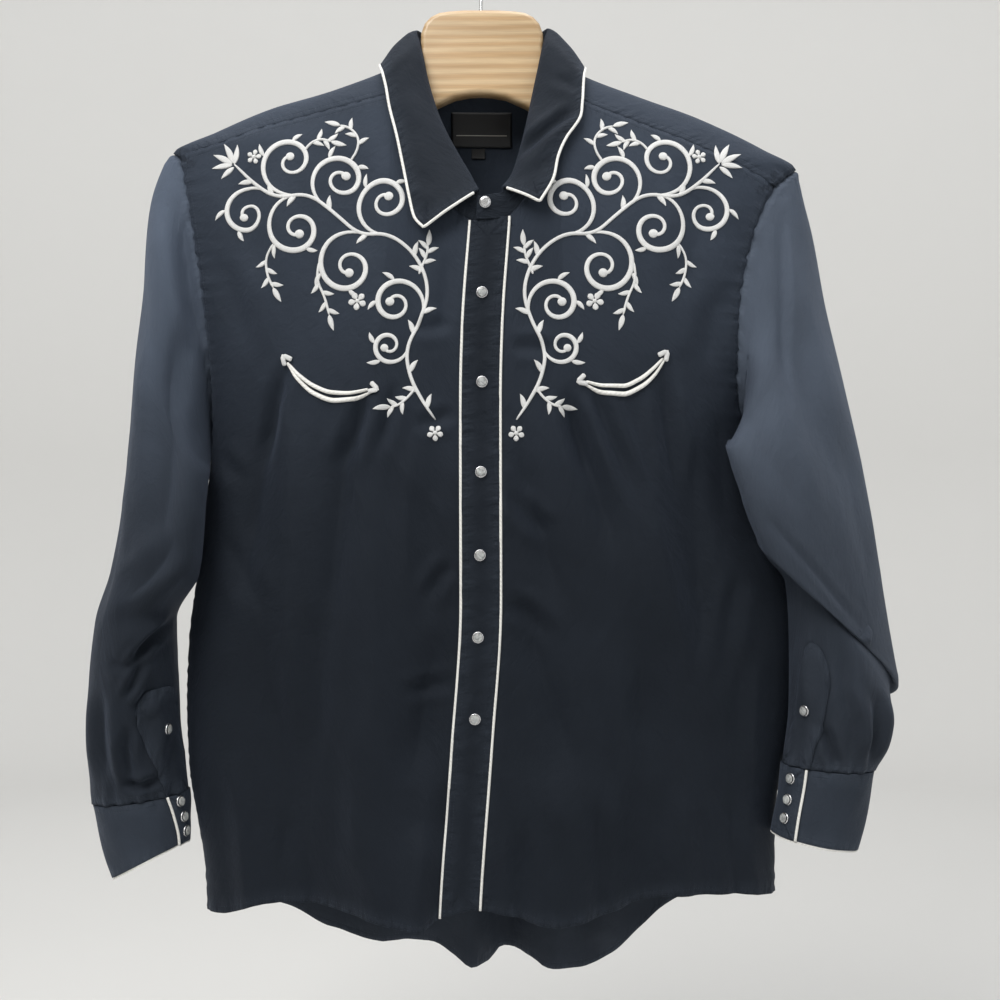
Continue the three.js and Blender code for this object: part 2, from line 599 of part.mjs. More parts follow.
function sleeveGrid(side) {
  const rows = SLEEVE[side];
  const loop = armholeLoop(side);
  const away = vec(side * (SEAM + 0.15), 0, 0);
  const count = rows.ox.length;
  const grid = makeGrid(RING, count, (i, j) => {
    const armhole = loop[i];
    if (j === 0) return { point: armhole.point.clone().add(away) };
    const k = j - 1;
    const ring = ringSpot(rows, k, Math.PI * (1 + (2 * i) / RING));
    const near = armhole.point.clone().add(vec(side * 6 * (k + 1), 0, 0));
    return { point: near.lerp(ring, rows.share[k]) };
  }, { ring: true, facing: () => vec(side, 0, 0) });
  // At the seam the wall splits the angle between the body's face and the sleeve's.
  grid.spots.forEach(([edge], i) => edge.normal.add(loop[i].normal).add(vec(0, 0, -0.2)).normalize());
  return grid;
}

const sleeves = { [RIGHT]: sleeveGrid(RIGHT), [LEFT]: sleeveGrid(LEFT) };
[RIGHT, LEFT].forEach((side) => add(`sleeve_${sideName[side]}`, wall(sleeves[side], 0, -CLOTH), black));

// Cuffs: one band each, rolled round once and on over its own start, with the corded edge
// where the outer layer ends and a cord under the hem.
const CUFF = {
  [RIGHT]: table("ox odrop ix idrop deep y turn lift", [
    [-365.6, 820.2, -277.9, 807.9, 38, -20, 0, 0],
    [-360, 844, -276.5, 824, 38, -20, 0, 1],
    [-353.5, 867.5, -276.3, 839.5, 37.5, -21, 0, 2],
    [-346.5, 890, -277.7, 855, 37, -22, 0, 4],
  ]),
  [LEFT]: table("ox odrop ix idrop deep y turn lift", [
    [367.5, 785.4, 283.5, 779.9, 38, -34, 0, 0],
    [363, 809, 280.5, 801, 38, -34, 0, 0],
    [357.7, 833, 277, 822, 37.5, -35, 0, 0],
    [352, 857, 273.5, 843, 37, -36, 0, 0],
  ]),
};
const CUFF_COLUMNS = 24;
const CUFF_OVERLAP = 3; // columns of the band that lie over its start
// Columns from the innermost point round the front to where the band starts, at its top and hem.
const CUFF_START = { [RIGHT]: [-0.13, -1.27], [LEFT]: [0.27, 0.3] };
const startColumn = (side, j) => mix(...CUFF_START[side], j / (CUFF[side].ox.length - 1));

const cuffGrid = (side) => {
  const rows = CUFF[side];
  const laid = DOUBLE + 0.6;
  const grid = makeGrid(CUFF_COLUMNS, rows.ox.length - 1, (i, j) => ({
    point: ringSpot(rows, j, Math.PI * (1 + (2 * (i + startColumn(side, j))) / CUFF_COLUMNS)),
  }), { ring: true, facing: () => vec(side, 0, 0) });
  return makeGrid(CUFF_COLUMNS + CUFF_OVERLAP, grid.rows, (i, j) => {
    const spot = grid.spots[i % CUFF_COLUMNS][j];
    const over = i >= CUFF_COLUMNS ? laid : laid * ease((i - CUFF_COLUMNS + 3) / 3);
    return { point: lifted(spot, over), normal: spot.normal.clone() };
  });
};
const cuffs = { [RIGHT]: cuffGrid(RIGHT), [LEFT]: cuffGrid(LEFT) };
[RIGHT, LEFT].forEach((side) => {
  const cuff = cuffs[side];
  add(`cuff_${sideName[side]}`, wall(cuff, 0, -DOUBLE), blackBand);
  const [last, before] = [cuff.spots.at(-1), cuff.spots.at(-2)];
  const edge = last.map((spot, j) => {
    const onward = spot.point.clone().sub(before[j].point).normalize();
    return lifted(spot, -DOUBLE / 2).addScaledVector(onward, PIPING / 2 + 0.35);
  });
  add(`cuff_piping_${sideName[side]}`, cord(edge, PIPING), white);
  const hem = cuff.spots.slice(0, CUFF_COLUMNS + CUFF_OVERLAP).map((column) => {
    const down = column.at(-1).point.clone().sub(column.at(-2).point).normalize();
    return lifted(column.at(-1), -DOUBLE / 2).addScaledVector(down, PIPING / 2 + 0.35);
  });
  add(`cuff_hem_piping_${sideName[side]}`, cord(hem, PIPING), white);
});

// Sleeve plackets: a strip up each sleeve from the cuff, from the sleeve's own points moved out.
// "top" is the sleeve row where it starts, "snap" the strip's own row of its snap, and "head"
// and "foot" are the sleeve's columns at its edges, at its top and at the cuff.
const SLEEVE_PLACKET = {
  [RIGHT]: { top: 9.3, snap: 1.05, head: [0.4, 4], foot: [0.05, 2.55] },
  [LEFT]: { top: 10.8, snap: 2, head: [2, 3.7], foot: [0.1, 3] },
};
const STRIP_COLUMNS = 4;
const STRIP_LIFT = 1.1; // keeps the strip clear of the corners between the sleeve's faces
const sleevePlackets = {};
[RIGHT, LEFT].forEach((side) => {
  const sleeve = sleeves[side];
  const { top, head, foot } = SLEEVE_PLACKET[side];
  const next = Math.ceil(top);
  sleevePlackets[side] = makeGrid(STRIP_COLUMNS, sleeve.rows - next + 1, (i, j) => {
    const row = j === 0 ? top : next + j - 1;
    const down = (row - top) / (sleeve.rows - top);
    const [near, far] = [0, 1].map((edge) => mix(head[edge], foot[edge], down));
    return between(sleeve, mix(near, far, i / STRIP_COLUMNS), row);
  });
  const inside = LAY + STRIP_LIFT;
  add(`sleeve_placket_${sideName[side]}`, wall(sleevePlackets[side], inside + STRIP, inside), blackBand);
});

// Collar: a stand round the neck and a leaf that folds over it. There is one row to each
// point of the neckline, from the inner end of the stand at the front round the back of the
// neck to its outer end. "f" is the fold, "e" the leaf's edge and "lift" its height off the body.
const COLLAR = table("fx fy fdrop ex edrop lift", [
  [20, -71, 254, 0, 0, 0],
  [-1, -72, 254, -50, 289.5, 11],
  [-9.4, -62, 236, -58.5, 279, 8],
  [-18.6, -53, 219, -64, 257, 6.5],
  [-32, -42, 193, -70, 228, 6],
  [-41.8, -31, 168, -76.5, 198, 6],
  [-50, -20, 138, -83.5, 170, 6],
  [-54.5, -13, 113, -87, 151, 6],
  [-58.5, -6, 97, -90, 137, 7],
  [-61.5, 0, 85, -92.5, 124, 8.5],
  [-54, 14, 84, -79, 136, 11],
  [-40, 24, 84, -57, 140, 7],
  [-21, 31, 86, -29, 142, 7],
  [0, 33, 88, 0, 143, 7],
  [21, 31, 86, 29, 142, 7],
  [40, 24, 83, 58, 140, 7],
  [56, 14, 83, 81, 136, 11],
  [64.2, 0, 83, 94.5, 128, 8.5],
  [61, -6, 94, 95, 139, 6.5],
  [57, -13, 110, 94.5, 152, 6],
  [52.3, -20, 134, 93.5, 167, 6],
  [46, -31, 166, 90.5, 185, 6.5],
  [41.8, -43, 187, 78, 205, 8],
  [34.7, -54, 217, 70, 224, 11],
  [28, -64, 238, 65, 247, 14],
  [20, -73, 251, 53, 268.5, 16],
  [10, -76, 254, 0, 0, 0],
  [-1.5, -76.5, 257, 0, 0, 0],
]);
const LEAF_ENDS = [1, 25]; // the leaf runs between these rows
const RIDGE_ROWS = [9, 17]; // between these the neckline runs round the back
const STAND_SHARE = 0.86; // how far up to the fold the stand reaches
const STAND_END = [8, -4]; // x of the neckline under the stand's outer end

const neckSpots = [
  ...fronts[RIGHT].spots.slice(0, FRONT_NECK_COLUMNS + 2).map((column) => column[0]),
  ...yoke.spots[SHOULDER_COLUMNS].slice(1, YOKE_FRONT_ROWS),
  ...yoke.spots
    .slice(SHOULDER_COLUMNS, SHOULDER_COLUMNS + NECK_COLUMNS + 1)
    .map((column) => column[YOKE_FRONT_ROWS]),
  ...yoke.spots[SHOULDER_COLUMNS + NECK_COLUMNS].slice(1, YOKE_FRONT_ROWS).reverse(),
  ...fronts[LEFT].spots.slice(1, FRONT_NECK_COLUMNS + 2).reverse().map((column) => column[0]),
  ...STAND_END.map((x) => bodySpot(FRONT, x, 280.8)),
];
const foldSpot = (k) => vec(COLLAR.fx[k], COLLAR.fy[k], -COLLAR.fdrop[k]);
const outward = (point) => vec(point.x, point.y - 4, 0).normalize();

const stand = makeGrid(neckSpots.length - 1, 3, (i, j) => {
  const forward = vec(0, i > LEAF_ENDS[1] ? -3.4 : 0, 0);
  const low = neckSpots[i].point.clone().add(vec(0, 0, SEAM + 0.2)).add(forward);
  const share = mix(0.035, STAND_SHARE, j / 3);
  const point = low.lerp(foldSpot(i), share);
  return { point: point.addScaledVector(outward(point), 0.8 * Math.sin(Math.PI * share)) };
}, { facing: outward });
add("collar_stand", wall(stand, 0, -DOUBLE), blackBand);

const LEAF_SHARES = [0, 0, 0.1, 0.3, 0.6, 1];
const LEAF_OFF_STAND = 4.4;
const leaf = makeGrid(LEAF_ENDS[1] - LEAF_ENDS[0], LEAF_SHARES.length - 1, (i, j) => {
  const k = LEAF_ENDS[0] + i;
  const top = stand.spots[k][3];
  const fold = foldSpot(k);
  if (j === 0) return { point: lifted(top, -DOUBLE).add(vec(0, 0, SEAM)), normal: top.normal.clone().negate() };
  if (j === 1) return { point: fold.add(vec(0, 0, 1.2)) };
  const face = k > RIDGE_ROWS[0] && k < RIDGE_ROWS[1] ? BACK : FRONT;
  const drop = RIDGE_ROWS.includes(k) ? ridgeDrop(COLLAR.ex[k]) : COLLAR.edrop[k];
  const edge = bodyPoint(face, COLLAR.ex[k], drop, COLLAR.lift[k]);
  const share = LEAF_SHARES[j];
  const bulge = LEAF_OFF_STAND * (1 - share) + 3 * Math.sin(Math.PI * share);
  return { point: fold.lerp(edge, share).addScaledVector(top.normal, bulge) };
}, { facing: outward });
add("collar_leaf", wall(leaf, 0, -DOUBLE), blackBand);

// The white cord round the leaf: down its right front edge, along its outer edge and up again.
const leafLast = leaf.spots.length - 1;
const edgeRow = leaf.rows;
const leafEdge = [
  ...[2, 3, 4].map((j) => [leaf.spots[0][j], leaf.spots[1][j]]),
  ...leaf.spots.map((column) => [column[edgeRow], column[edgeRow - 1]]),
  ...[4, 3, 2].map((j) => [leaf.spots[leafLast][j], leaf.spots[leafLast - 1][j]]),
];
const collarCord = leafEdge.map(([spot, inner]) => {
  const away = spot.point.clone().sub(inner.point).normalize();
  return lifted(spot, -DOUBLE / 2).addScaledVector(away, PIPING / 2 + 0.8);
});
[3, leafEdge.length - 4].forEach((k, end) => {
  const neighbour = leaf.spots[end ? leafLast - 1 : 1][edgeRow];
  const away = leafEdge[k][0].point.clone().sub(neighbour.point).normalize();
  collarCord[k].addScaledVector(away, PIPING / 2 + 0.5);
});
add("collar_piping", cord(collarCord, PIPING), white);

// Neck label and size tab: bare, on the inside of the yoke under the stand.
const LABEL = { from: SHOULDER_COLUMNS + 3, to: SHOULDER_COLUMNS + 6, rows: [3.65, 4, 4.75] };
const TAB = { columns: [SHOULDER_COLUMNS + 3.85, SHOULDER_COLUMNS + 4.5], rows: [4.79, 4.96] };
const label = makeGrid(LABEL.to - LABEL.from, LABEL.rows.length - 1, (i, j) =>
  between(yoke, LABEL.from + i, LABEL.rows[j]));
add("neck_label", wall(label, -CLOTH - LAY, -CLOTH - LAY - 0.8), satin);
const tab = makeGrid(1, 1, (i, j) => between(yoke, TAB.columns[i], TAB.rows[j]));
add("size_tab", wall(tab, -CLOTH - LAY, -CLOTH - LAY - 0.7), satin);

// Smile pockets: two white corded welts to a pocket, with an arrow tab at each end.
const POCKETS = {
  [RIGHT]: table("x drop", [[-177.3, 406.4], [-165.6, 420], [-149.4, 430.5], [-127.7, 436], [-96.2, 433.4]]),
  [LEFT]: table("x drop", [[92.1, 426.2], [110, 433.5], [130.8, 432.5], [151, 421], [167.8, 403.7]]),
};
const WELT_GAP = 6; // between the two cords at the middle of the smile
const WELT = 2.6;
const WELT_STEPS = 10;
const TAB_SIZE = 6.5;
[RIGHT, LEFT].forEach((side) => {
  const front = fronts[side];
  const rows = POCKETS[side];
  const smile = path(rows.x.map((x, i) => [x, rows.drop[i]]));
  ["upper", "lower"].forEach((name, which) => {
    const points = Array.from({ length: WELT_STEPS + 1 }, (_, k) => {
      const t = mix(0.1, 0.9, k / WELT_STEPS);
      const spread = WELT / 2 + 0.3 + (WELT_GAP / 2) * Math.sin(Math.PI * t);
      const [x, drop] = smile(t);
      return clearOf(front, x, drop + (which ? spread : -spread), 4, LAY + WELT / 2);
    });
    add(`pocket_welt_${name}_${sideName[side]}`, cord(points, WELT), white);
  });
  ["inner", "outer"].forEach((name) => {
    const atStart = (name === "outer") === (side === RIGHT);
    const [tip, base] = [smile(atStart ? 0 : 1), smile(atStart ? 0.06 : 0.94)];
    const along = Math.atan2(-(tip[1] - base[1]), tip[0] - base[0]);
    const corners = [0, 2.5, -2.5].map((turn) => [
      tip[0] + TAB_SIZE * Math.cos(along + turn), -tip[1] + TAB_SIZE * Math.sin(along + turn),
    ]);
    const shape = new THREE.Shape(corners.map(([x, z]) => new THREE.Vector2(x, z)));
    const tabBody = new THREE.ExtrudeGeometry(shape, { depth: 1.4, bevelEnabled: false });
    const lay = clearOf(front, tip[0], tip[1], TAB_SIZE, LAY);
    tabBody.rotateX(Math.PI / 2).translate(0, lay.y, 0);
    add(`pocket_tab_${name}_${sideName[side]}`, tabBody, white);
  });
});

// Snaps: a pearl cap in a raised metal rim, turned about its own axis and set on the cloth.
const SNAP_PROFILE = table("radius height", [
  [0, 0], [5.6, 0], [6.2, 0.9], [5.9, 2], [5, 2.1], [4.2, 1.9], [0, 2.5],
]);
function addSnap(name, { point, normal }, out) {
  const profile = SNAP_PROFILE.radius.map((r, i) => new THREE.Vector2(r, SNAP_PROFILE.height[i]));
  const turnedProfile = new THREE.LatheGeometry(profile, 12).deleteAttribute("uv").deleteAttribute("normal");
  const cap = mergeVertices(turnedProfile, 1e-4);
  const turned = new THREE.Quaternion().setFromUnitVectors(vec(0, 1, 0), normal);
  cap.applyQuaternion(turned).translate(...point.clone().addScaledVector(normal, out).toArray());
  add(name, cap, pearl);
}
const PLACKET_SNAPS = table("x drop", [
  [2, 346.9], [2, 428], [1.1, 509.1], [0.2, 583.9], [-1.6, 657.7], [-4.3, 731.6],
]);
const onPlacket = LAY + STRIP + LAY;
PLACKET_SNAPS.x.forEach((x, i) => {
  addSnap(`snap_front_${i + 1}`, faceUnder(placketGrid, x, PLACKET_SNAPS.drop[i]), onPlacket + 0.2);
});
const standEnd = { columns: 2, rows: 3, spots: stand.spots.slice(-3) };
addSnap("snap_collar", faceUnder(standEnd, 4.7, 265), LAY + 0.2);
const CUFF_SNAPS = { [RIGHT]: [0.4, 1.35, 2.25], [LEFT]: [0.5, 1.4, 2.2] };
const CUFF_SNAP_COLUMN = { [RIGHT]: CUFF_COLUMNS + 2.1, [LEFT]: CUFF_COLUMNS + 1.75 };
[RIGHT, LEFT].forEach((side) => {
  CUFF_SNAPS[side].forEach((row, k) => {
    addSnap(`snap_cuff_${sideName[side]}_${k + 1}`, between(cuffs[side], CUFF_SNAP_COLUMN[side], row), LAY + 0.2);
  });
  const onStrip = between(sleevePlackets[side], STRIP_COLUMNS / 2, SLEEVE_PLACKET[side].snap);
  addSnap(`snap_sleeve_${sideName[side]}`, onStrip, onPlacket + STRIP_LIFT + 0.4);
});

// Hanger: a flat wooden bar with a broad domed neck, its arms inside the shoulders, and a
// wire hook whose stem stands in a blind hole in the neck.
const HOOK_WIRE = 3.5;
const HOOK_RADIUS = 20; // inside the bend
const STEM_FOOT = 78;
const BAR_THICKNESS = 18;
const BAR_ROUND = 4;
const ARM_CLEAR = 5; // below the shoulder ridge
const DOME = table("out drop", [
  [0, 66], [28, 66.5], [44, 70], [54, 78], [57.5, 90], [57, 102], [60, 112], [68, 121],
]);
const ARM_TOP = [82, 110, 145, 175, 203, 228];
const ARM_TIP = table("out below", [[244, 10], [249, 18], [243, 27]]); // below the arm's top line
const ARM_LOWER = table("out drop", [
  [215, 207], [170, 194], [125, 184], [85, 176], [60, 168], [42, 158], [24, 150], [0, 147],
]);

const barHalf = (side) => {
  const armTop = (out) => ridgeDrop(side * out) + ARM_CLEAR + BAR_ROUND / 2;
  const dome = DOME.out.map((out, i) => [out + (side === LEFT ? 2 : 0) * (out > 20), DOME.drop[i]]);
  const top = ARM_TOP.map((out) => [out, armTop(out)]);
  const tip = ARM_TIP.out.map((out, i) => [out, armTop(228) + ARM_TIP.below[i]]);
  const sink = side === LEFT ? 4 : 0;
  const lower = ARM_LOWER.out.map((out, i) => [out, ARM_LOWER.drop[i] + (out > 60 ? sink : 0)]);
  return [...dome, ...top, ...tip, ...lower].map(([out, drop]) => new THREE.Vector2(side * out, -drop));
};
const barOutline = [...barHalf(LEFT), ...barHalf(RIGHT).reverse().slice(1, -1)];
const bar = new THREE.ExtrudeGeometry(new THREE.Shape(barOutline), {
  depth: BAR_THICKNESS - 2 * BAR_ROUND, bevelEnabled: true, bevelThickness: BAR_ROUND,
  bevelSize: BAR_ROUND, bevelOffset: -BAR_ROUND, bevelSegments: 2,
});
bar.rotateX(Math.PI / 2).translate(0, BAR_THICKNESS / 2 - BAR_ROUND, 0);

function toSolid(geometry) {
  const merged = mergeVertices(geometry.clone().deleteAttribute("uv").deleteAttribute("normal"), 1e-3);
  return new wasm.Manifold(new wasm.Mesh({
    numProp: 3, vertProperties: merged.attributes.position.array, triVerts: new Uint32Array(merged.index.array),
  }));
}
const hole = new THREE.CylinderGeometry(HOOK_WIRE / 2 + 0.3, HOOK_WIRE / 2 + 0.3, 40, 12).rotateX(Math.PI / 2);
hole.translate(0, 0, -STEM_FOOT - 0.5 + 20);
const drilled = toSolid(bar).subtract(toSolid(hole)).getMesh();
add("hanger_bar", faceOut([...drilled.vertProperties], [...drilled.triVerts]), wood);

const bend = HOOK_RADIUS + HOOK_WIRE / 2;
const hookPoint = (degrees) =>
  vec(bend * Math.cos(radians(degrees)), 0, bend * Math.sin(radians(degrees)) - HOOK_RADIUS);
const hook = [
  vec(0, 0, -STEM_FOOT), vec(0, 0, -56), vec(1.5, 0, -50.5), vec(6, 0, -45.5), vec(12.5, 0, -40.5),
  ...Array.from({ length: 16 }, (_, k) => hookPoint(mix(-38, 187, k / 15))),
];
add("hanger_hook", cord(hook, HOOK_WIRE, 8), steel);

export default shirt;
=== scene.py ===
"""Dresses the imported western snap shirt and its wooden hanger.

Sizes are in millimetres and become metres when a mesh is made. The shirt's front faces -Y, the
viewer's right is +X, and heights are drops below the hook's inner crest, which is the origin.
Left and right are the wearer's, so the right front lies at -X.
"""

import bmesh
import bpy
import numpy as np
from mathutils import Matrix, Vector


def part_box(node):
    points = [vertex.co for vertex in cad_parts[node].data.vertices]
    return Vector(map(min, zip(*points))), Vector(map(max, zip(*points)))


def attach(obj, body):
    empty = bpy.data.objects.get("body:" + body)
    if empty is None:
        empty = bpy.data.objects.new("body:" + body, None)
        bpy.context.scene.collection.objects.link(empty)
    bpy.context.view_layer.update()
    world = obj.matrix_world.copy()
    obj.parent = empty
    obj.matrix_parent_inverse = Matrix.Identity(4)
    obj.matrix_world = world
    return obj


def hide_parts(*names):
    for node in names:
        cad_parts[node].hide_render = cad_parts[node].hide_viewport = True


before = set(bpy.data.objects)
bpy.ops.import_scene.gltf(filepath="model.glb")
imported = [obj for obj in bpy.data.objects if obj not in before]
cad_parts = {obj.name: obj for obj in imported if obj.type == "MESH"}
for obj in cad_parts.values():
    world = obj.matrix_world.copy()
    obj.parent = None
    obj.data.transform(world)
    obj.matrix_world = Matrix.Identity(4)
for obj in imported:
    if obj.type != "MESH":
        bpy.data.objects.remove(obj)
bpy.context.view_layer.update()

# Fronts. Each is one panel of dark plain-woven cotton from the centre to the armhole and the side
# seam, with a turned and stitched shirt-tail hem. It is sewn to the yoke, sleeve, back and placket.
RIGHT, LEFT, FRONT, BACK = -1, 1, -1, 1
SIDE_NAME = {RIGHT: "right", LEFT: "left"}
CLOTH = 0.9
PLACKET_WIDTH = 34
UNDERLAP = 12


def table(heading, rows):
    """Rows of numbers under a heading of column names."""
    return dict(zip(heading.split(), np.array(rows, float).T))


def curve(keys, values):
    """A smooth line through values at rising keys, which never overshoots them."""
    keys, values = np.asarray(keys, float), np.asarray(values, float)
    slope = np.diff(values) / np.diff(keys)
    tangent = np.concatenate([slope[:1], np.zeros(len(keys) - 2), slope[-1:]])
    before, after = slope[:-1], slope[1:]
    same_way = before * after > 0
    total = np.where(same_way, before + after, 1)
    tangent[1:-1] = np.where(same_way, 2 * before * after / total, 0)

    def at(key):
        k = np.clip(key, keys[0], keys[-1])
        i = np.clip(np.searchsorted(keys, k, side="right") - 1, 0, len(keys) - 2)
        width = keys[i + 1] - keys[i]
        t = (k - keys[i]) / width
        start = values[i] * (1 + 2 * t) * (1 - t) ** 2 + tangent[i] * width * t * (1 - t) ** 2
        end = values[i + 1] * t * t * (3 - 2 * t) + tangent[i + 1] * width * t * t * (t - 1)
        return start + end

    return at


def path(points):
    """A smooth path through points of any dimension, run at an even pace from 0 to 1."""
    points = np.asarray(points, float)
    along = np.concatenate([[0], np.cumsum(np.linalg.norm(np.diff(points, axis=0), axis=1))])
    parts = [curve(along / along[-1], column) for column in points.T]
    return lambda t: np.stack([part(np.asarray(t, float)) for part in parts], -1)


def ease(t):
    t = np.clip(t, 0, 1)
    return t * t * (3 - 2 * t)


def mix(a, b, t):
    return a + (b - a) * t


SIDE_SEAM = {
    RIGHT: table("drop out", [
        [112, 58], [118, 76], [126, 94], [145, 145], [162, 203], [184, 255], [203, 294],
        [230, 297], [290, 291], [340, 281], [390, 267], [440, 259], [477, 257], [530, 262],
        [611, 272], [669, 279], [726, 281], [784, 279], [842, 270], [880, 264], [960, 260],
    ]),
    LEFT: table("drop out", [
        [112, 58], [120, 79], [129, 97], [150, 152], [171, 210], [201, 272], [219, 301],
        [250, 303], [300, 297], [350, 283], [400, 266], [440, 256], [485, 254], [540, 261],
        [573, 272], [602, 288], [630, 296], [688, 297], [758, 293], [803, 285], [837, 281],
        [960, 281],
    ]),
}
DEPTH = table("drop front back", [
    [112, 28, 32], [118, 32, 36], [145, 37, 40], [170, 44, 43], [203, 53, 46], [250, 64, 49],
    [280, 70, 51], [340, 77, 53], [420, 82, 55], [550, 83, 56], [700, 80, 56], [900, 75, 54],
    [1000, 73, 52],
])
ARMHOLE = {
    RIGHT: table("drop front back", [
        [203, 294, 294], [209, 287, 291], [240, 279, 284], [290, 270, 274], [340, 262, 266],
        [390, 258, 260], [440, 256.5, 257.5], [477, 257, 257],
    ]),
    LEFT: table("drop front back", [
        [219, 301, 301], [240, 277, 292], [290, 254, 278], [340, 243, 263], [371, 240, 256],
        [420, 241, 250], [460, 247, 250], [485, 253, 253],
    ]),
}
SHOULDER_SEAM = {
    RIGHT: table("out drop", [[83, 154], [141, 170], [198, 184], [249, 200], [287, 209]]),
    LEFT: table("out drop", [
        [85, 157], [101, 163.4], [150, 183], [206, 205.6], [244, 222.6], [277, 240],
    ]),
}
NECKLINE = {
    RIGHT: [[-8, 280.5], [-32, 262], [-52, 230], [-70, 190], [-83, 154]],
    LEFT: [[26, 277], [42, 260], [62, 228], [76, 190], [85, 157]],
}
CENTRE = table("drop x", [
    [281, 8.7], [380, 2], [440, 0.6], [625, 1], [762, -7.5], [900, -17.4], [960, -20],
])
FRONT_HEM = table("x drop", [
    [-260, 923], [-242, 921], [-199, 907], [-165, 905], [-118, 910], [-77, 920], [-54, 922.5],
    [-35, 912], [-6, 905], [27, 910.6], [68, 918.7], [109, 914], [155, 901], [183, 897],
    [222, 898.5], [282, 907],
])

# Folds and creases, seen from the front: a line from (x, drop) over (midX, midDrop) to
# (toX, toDrop). Ridges are positive and troughs negative, "hook" is the share of the opposite
# wave beside it, and "runs" is 1 where the fold runs off its lower end at the hem.
CREASES = {}
CREASES[FRONT] = table("x drop midX midDrop toX toDrop width height hook runs", [
    [-192, 395, -207, 518, -222, 640, 17, -8, 0, 0],
    [-168, 400, -173, 580, -178, 760, 22, 5, 0, 0],
    [-118, 425, -130, 558, -142, 690, 15, -7, 0, 0],
    [-92, 480, -94, 705, -96, 930, 24, 6, 0, 1],
    [-38, 640, -50, 720, -62, 800, 15, -7, 0, 0],
    [-205, 640, -178, 790, -150, 940, 26, -6, 0, 1],
    [-48, 820, -52, 880, -56, 940, 24, 8, 0, 1],
    [78, 420, 103, 510, 128, 600, 14, -7, 0, 0],
    [104, 400, 136, 560, 168, 720, 20, 5, 0, 0],
    [28, 470, 53, 555, 78, 640, 12, -5, 0, 0],
    [26, 600, 59, 700, 92, 800, 15, -6, 0, 0],
    [196, 440, 202, 570, 208, 700, 20, -8, 0, 0],
    [150, 640, 145, 790, 140, 940, 26, -7, 0, 1],
    [72, 760, 71, 850, 70, 940, 26, 7, 0, 1],
    # smaller creases below the pockets, beside the placket and along the hem
    [-178, 404, -190, 452, -204, 516, 7, -5.0, 0.5, 0],
    [-102, 432, -112, 470, -130, 512, 8, -4.6, 0.6, 0],
    [-76, 424, -84, 460, -94, 500, 7, -3.4, 0.6, 0],
    [-58, 470, -66, 560, -62, 660, 10, 2.6, 0.5, 0],
    [-24, 592, -36, 604, -50, 632, 6, -2.6, 0.7, 0],
    [-28, 300, -30, 345, -34, 395, 8, -2.6, 0.4, 0],
    [-24, 372, -44, 378, -66, 376, 6, -1.8, 0.6, 0],
    [-22, 452, -40, 462, -64, 466, 6, -2.0, 0.6, 0],
    [-22, 700, -44, 702, -76, 712, 6, -2.2, 0.6, 0],
    [-240, 560, -222, 600, -196, 640, 10, -2.6, 0.5, 0],
    [-150, 620, -146, 700, -152, 800, 12, -3.0, 0.5, 0],
    [-118, 720, -112, 800, -118, 900, 11, 2.6, 0.5, 0],
    [-232, 760, -222, 830, -214, 930, 10, 3.0, 0.5, 1],
    [-180, 820, -184, 870, -186, 930, 9, -2.8, 0.4, 1],
    [-30, 780, -34, 840, -40, 930, 8, -3.0, 0.4, 1],
    [-250, 480, -238, 500, -214, 520, 7, -2.2, 0.6, 0],
    [24, 398, 48, 396, 70, 402, 6, -2.0, 0.6, 0],
    [26, 520, 44, 548, 70, 566, 7, -2.6, 0.7, 0],
    [20, 626, 48, 640, 66, 668, 7, -2.6, 0.7, 0],
    [98, 424, 116, 470, 142, 542, 7, -4.6, 0.6, 0],
    [78, 430, 88, 476, 106, 530, 8, -3.6, 0.6, 0],
    [166, 408, 172, 470, 184, 540, 8, -4.0, 0.6, 0],
    [150, 488, 168, 600, 198, 712, 13, 3.4, 0.5, 0],
    [122, 660, 134, 740, 152, 820, 14, 3.6, 0.5, 0],
    [220, 440, 226, 500, 232, 580, 12, -4.2, 0.5, 0],
    [244, 600, 232, 640, 222, 720, 8, -3.0, 0.7, 0],
    [262, 660, 254, 730, 256, 810, 8, 2.4, 0.7, 0],
    [104, 800, 108, 850, 112, 930, 9, -3.0, 0.5, 1],
    [190, 780, 188, 850, 184, 930, 12, 3.2, 0.5, 1],
    [232, 800, 236, 850, 240, 930, 9, -3.0, 0.5, 1],
    [36, 820, 38, 870, 36, 930, 8, -3.0, 0.5, 1],
    # long soft pulls from the yoke and the neck
    [-120, 200, -112, 262, -104, 330, 16, -2.4, 0.6, 0],
    [-214, 214, -214, 280, -200, 350, 15, -2.6, 0.6, 0],
    [-244, 300, -226, 352, -214, 410, 12, -2.4, 0.6, 0],
    [110, 204, 108, 262, 100, 330, 16, -2.4, 0.6, 0],
    [206, 232, 200, 290, 190, 356, 15, -2.6, 0.6, 0],
    [228, 330, 214, 372, 206, 420, 12, -2.6, 0.6, 0],
])
